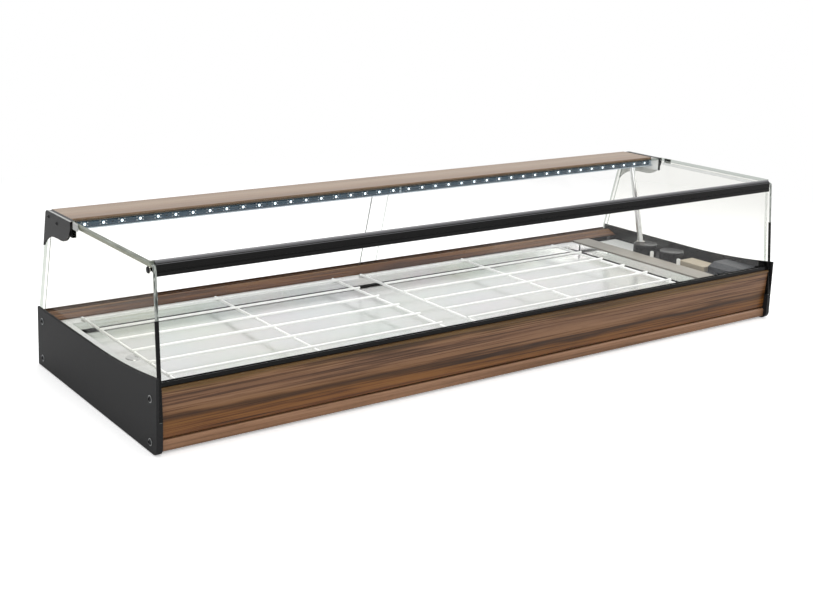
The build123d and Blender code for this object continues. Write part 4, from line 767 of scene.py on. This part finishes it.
def buildFittings():
    look = fittingLook
    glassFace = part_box("right_side_glass")[1][0]
    clips, strips = [], []
    bracketLow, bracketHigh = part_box("right_end_bracket")
    for side in (-1, 1):
        ends = sorted((side * (glassFace + look["gap"]),
            side * (glassFace + look["gap"] + look["clipThick"])))
        clips.append(blockShape((ends[0], look["clipFront"], look["clipFoot"]),
            (ends[1], look["clipRear"], look["clipTop"]), 0.0017, 4))
        ends = sorted((side * bracketHigh[0], side * (bracketHigh[0] - look["stripWide"])))
        strips.append(blockShape((ends[0], bracketLow[1] + 0.0005, bracketHigh[2] - 0.0002),
            (ends[1], bracketHigh[1] - look["stripShort"], bracketHigh[2] + look["strip"]), 0.0005))
    addPiece("glass_clips", clips, "case", "greyTrim")
    addPiece("bracket_strips", strips, "case", "greyTrim")
    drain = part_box("drain_spigot")
    place = ((drain[0][0] + drain[1][0]) / 2, (drain[0][1] + drain[1][1]) / 2,
        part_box("well")[1][2] - sealLook["trayDepth"])
    dish = [(0.0145, 0.0), (0.0142, 0.0008), (0.0120, 0.0011), (0.0085, 0.0008), (0.0072, -0.0006),
        (0.0040, -0.0010), (0.0, -0.0009)]
    addPiece("drain_strainer", [turnedShape(dish, place, (0, 0, 1), 48)], "case", "tube")
    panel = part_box("rear_panel")
    rearFace = cadHigh[1] - look["panelStep"]
    heads = []
    for x in np.linspace(cadLow[0] + look["panelInset"], cadHigh[0] - look["panelInset"],
        look["panelScrews"]):
        heads.append(screwShapes((x, rearFace - look["gap"], panel[1][2] - look["panelDrop"]), (0, 1, 0),
            screwLook, look["panelSize"])[0])
    addPiece("panel_screws", heads, "case", "screw")
    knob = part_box("thermostat_knob")
    centre = np.array(((knob[0][0] + knob[1][0]) / 2, rearFace, (knob[0][2] + knob[1][2]) / 2))
    ticks, seat, last = [], (0, look["gap"], 0), look["ticks"] - 1
    for i in range(look["ticks"]):
        turn = math.radians(-look["sweep"] / 2 + i * look["sweep"] / last)
        outer = look["tickOuter"] + (look["endTick"] if i in (0, last) else 0.0)
        direction = np.array((-math.sin(turn), 0.0, math.cos(turn)))
        ticks.append(rodShape(centre + direction * look["tickInner"] + seat,
            centre + direction * outer + seat, 0.0005, 8, 2))
    addPiece("dial_ticks", ticks, "case", "white")
    faceY, (near, far) = knob[1][1] - look["gap"], look["pointer"]
    pointer = rodShape((centre[0], faceY, centre[2] + near), (centre[0], faceY, centre[2] + far), 0.0006, 10,
        2)
    addPiece("knob_pointer", [pointer], "thermostat_knob", "white")


buildFittings()
print("small pieces made")


# Stage: a white floor that keeps the shadow, a white world, soft lamps.
stageLook = {
    "floorSize": 24.0, "keyPower": 26.0, "fillPower": 12.0, "topPower": 40.0, "worldLight": 0.72,
    "mirrorLight": 1.0, "fadeStart": 0.9, "fadeEnd": 1.9,
}


def buildStage():
    look = stageLook
    half = look["floorSize"] / 2
    mesh = bpy.data.meshes.new("floor")
    mesh.from_pydata([(-half, -half, 0), (half, -half, 0), (half, half, 0), (-half, half, 0)], [],
        [(0, 1, 2, 3)])
    floor = bpy.data.objects.new("floor", mesh)
    bpy.context.scene.collection.objects.link(floor)
    material, tree, output, coords = startMaterial("paleFloor")
    plain = addNode(tree, "BsdfPrincipled", {"Base Color": linearColour("#f2f2f2"), "Roughness": 0.9})
    lift = addNode(tree, "Emission", {"Color": (1, 1, 1, 1), "Strength": 0.34})
    near = addNode(tree, "AddShader", None, {0: plain.outputs["BSDF"], 1: lift.outputs["Emission"]})
    far = addNode(tree, "Emission", {"Color": (1, 1, 1, 1), "Strength": 1.0})
    away = addNode(tree, "VectorMath", {"operation": "LENGTH"}, {0: coords.outputs["Object"]})
    fade = addNode(tree, "MapRange", {"From Min": look["fadeStart"], "From Max": look["fadeEnd"]},
        {"Value": away.outputs["Value"]})
    ground = addNode(tree, "MixShader", None,
        {0: fade.outputs["Result"], 1: near.outputs["Shader"], 2: far.outputs["Emission"]})
    path = addNode(tree, "LightPath")
    seen = addNode(tree, "Math", {"operation": "MAXIMUM"},
        {0: path.outputs["Is Camera Ray"], 1: path.outputs["Is Transmission Ray"]})
    mixed = addNode(tree, "MixShader", None,
        {0: seen.outputs["Value"], 1: plain.outputs["BSDF"], 2: ground.outputs["Shader"]})
    tree.links.new(mixed.outputs["Shader"], output.inputs["Surface"])
    mesh.materials.append(material)
    floor.location.z = -0.0005

    world = bpy.data.worlds.new("studio")
    bpy.context.scene.world = world
    world.use_nodes = True
    tree = world.node_tree
    tree.nodes.clear()
    path = addNode(tree, "LightPath")
    anySeen = addNode(tree, "Math", {"operation": "MAXIMUM"},
        {0: path.outputs["Is Camera Ray"], 1: path.outputs["Is Transmission Ray"]})
    lit = addNode(tree, "MapRange", {"To Min": look["worldLight"], "To Max": look["mirrorLight"]},
        {"Value": path.outputs["Is Glossy Ray"]})
    strength = addNode(tree, "MapRange", {"To Max": 1.0},
        {"Value": anySeen.outputs["Value"], "To Min": lit.outputs["Result"]})
    light = addNode(tree, "Background", {"Color": (1, 1, 1, 1)}, {"Strength": strength.outputs["Result"]})
    addNode(tree, "OutputWorld", None, {"Surface": light.outputs["Background"]})

    def areaLamp(name, place, aim, size, power):
        lamp = bpy.data.lights.new(name, "AREA")
        lamp.shape = "RECTANGLE"
        lamp.size, lamp.size_y = size
        lamp.energy = power
        holder = bpy.data.objects.new(name, lamp)
        holder.location = place
        holder.rotation_euler = (Vector(aim) - Vector(place)).to_track_quat("-Z", "Y").to_euler()
        bpy.context.scene.collection.objects.link(holder)

    areaLamp("topLamp", (0.1, 0.2, 2.4), (0, 0, 0.1), (2.6, 1.6), look["topPower"])
    areaLamp("keyLamp", (-1.6, -2.6, 1.5), (0, 0, 0.12), (1.8, 1.2), look["keyPower"])
    areaLamp("fillLamp", (2.8, -1.2, 1.0), (0, 0, 0.15), (1.4, 1.2), look["fillPower"])


# Camera: worked out from the photograph's edges; turns in degrees, places in millimetres.
cameraLook = {
    "azimuth": 35.0, "elevation": 11.29, "roll": 1.68, "distance": 2573.84,
    "target": (0.0, 266.29, 245.89), "focalPixels": 1243.63, "centre": (359.66, 190.0), "frame": (813, 609),
}


def buildCamera():
    look = cameraLook
    az, el, roll = (math.radians(look[k]) for k in ("azimuth", "elevation", "roll"))
    forward = Vector((math.sin(az) * math.cos(el), math.cos(az) * math.cos(el), -math.sin(el)))
    right = Vector((math.cos(az), -math.sin(az), 0))
    up = right.cross(forward)
    rolledRight = right * math.cos(roll) + up * math.sin(roll)
    rolledUp = up * math.cos(roll) - right * math.sin(roll)
    camera = bpy.data.objects.new("camera", bpy.data.cameras.new("camera"))
    bpy.context.scene.collection.objects.link(camera)
    turn = Matrix((rolledRight, rolledUp, -forward)).transposed()
    camera.rotation_euler = turn.to_euler()
    camera.location = (Vector(look["target"]) - forward * look["distance"]) / 1000
    camera.data.sensor_width = 36.0
    camera.data.lens = look["focalPixels"] / look["frame"][0] * 36.0
    camera.data.shift_x = (look["frame"][0] / 2 - look["centre"][0]) / look["frame"][0]
    camera.data.shift_y = (look["centre"][1] - look["frame"][1] / 2) / look["frame"][0]
    camera.data.clip_start, camera.data.clip_end = 0.05, 60
    bpy.context.scene.camera = camera


buildStage()
buildCamera()
bpy.context.scene.view_settings.view_transform = "Standard"
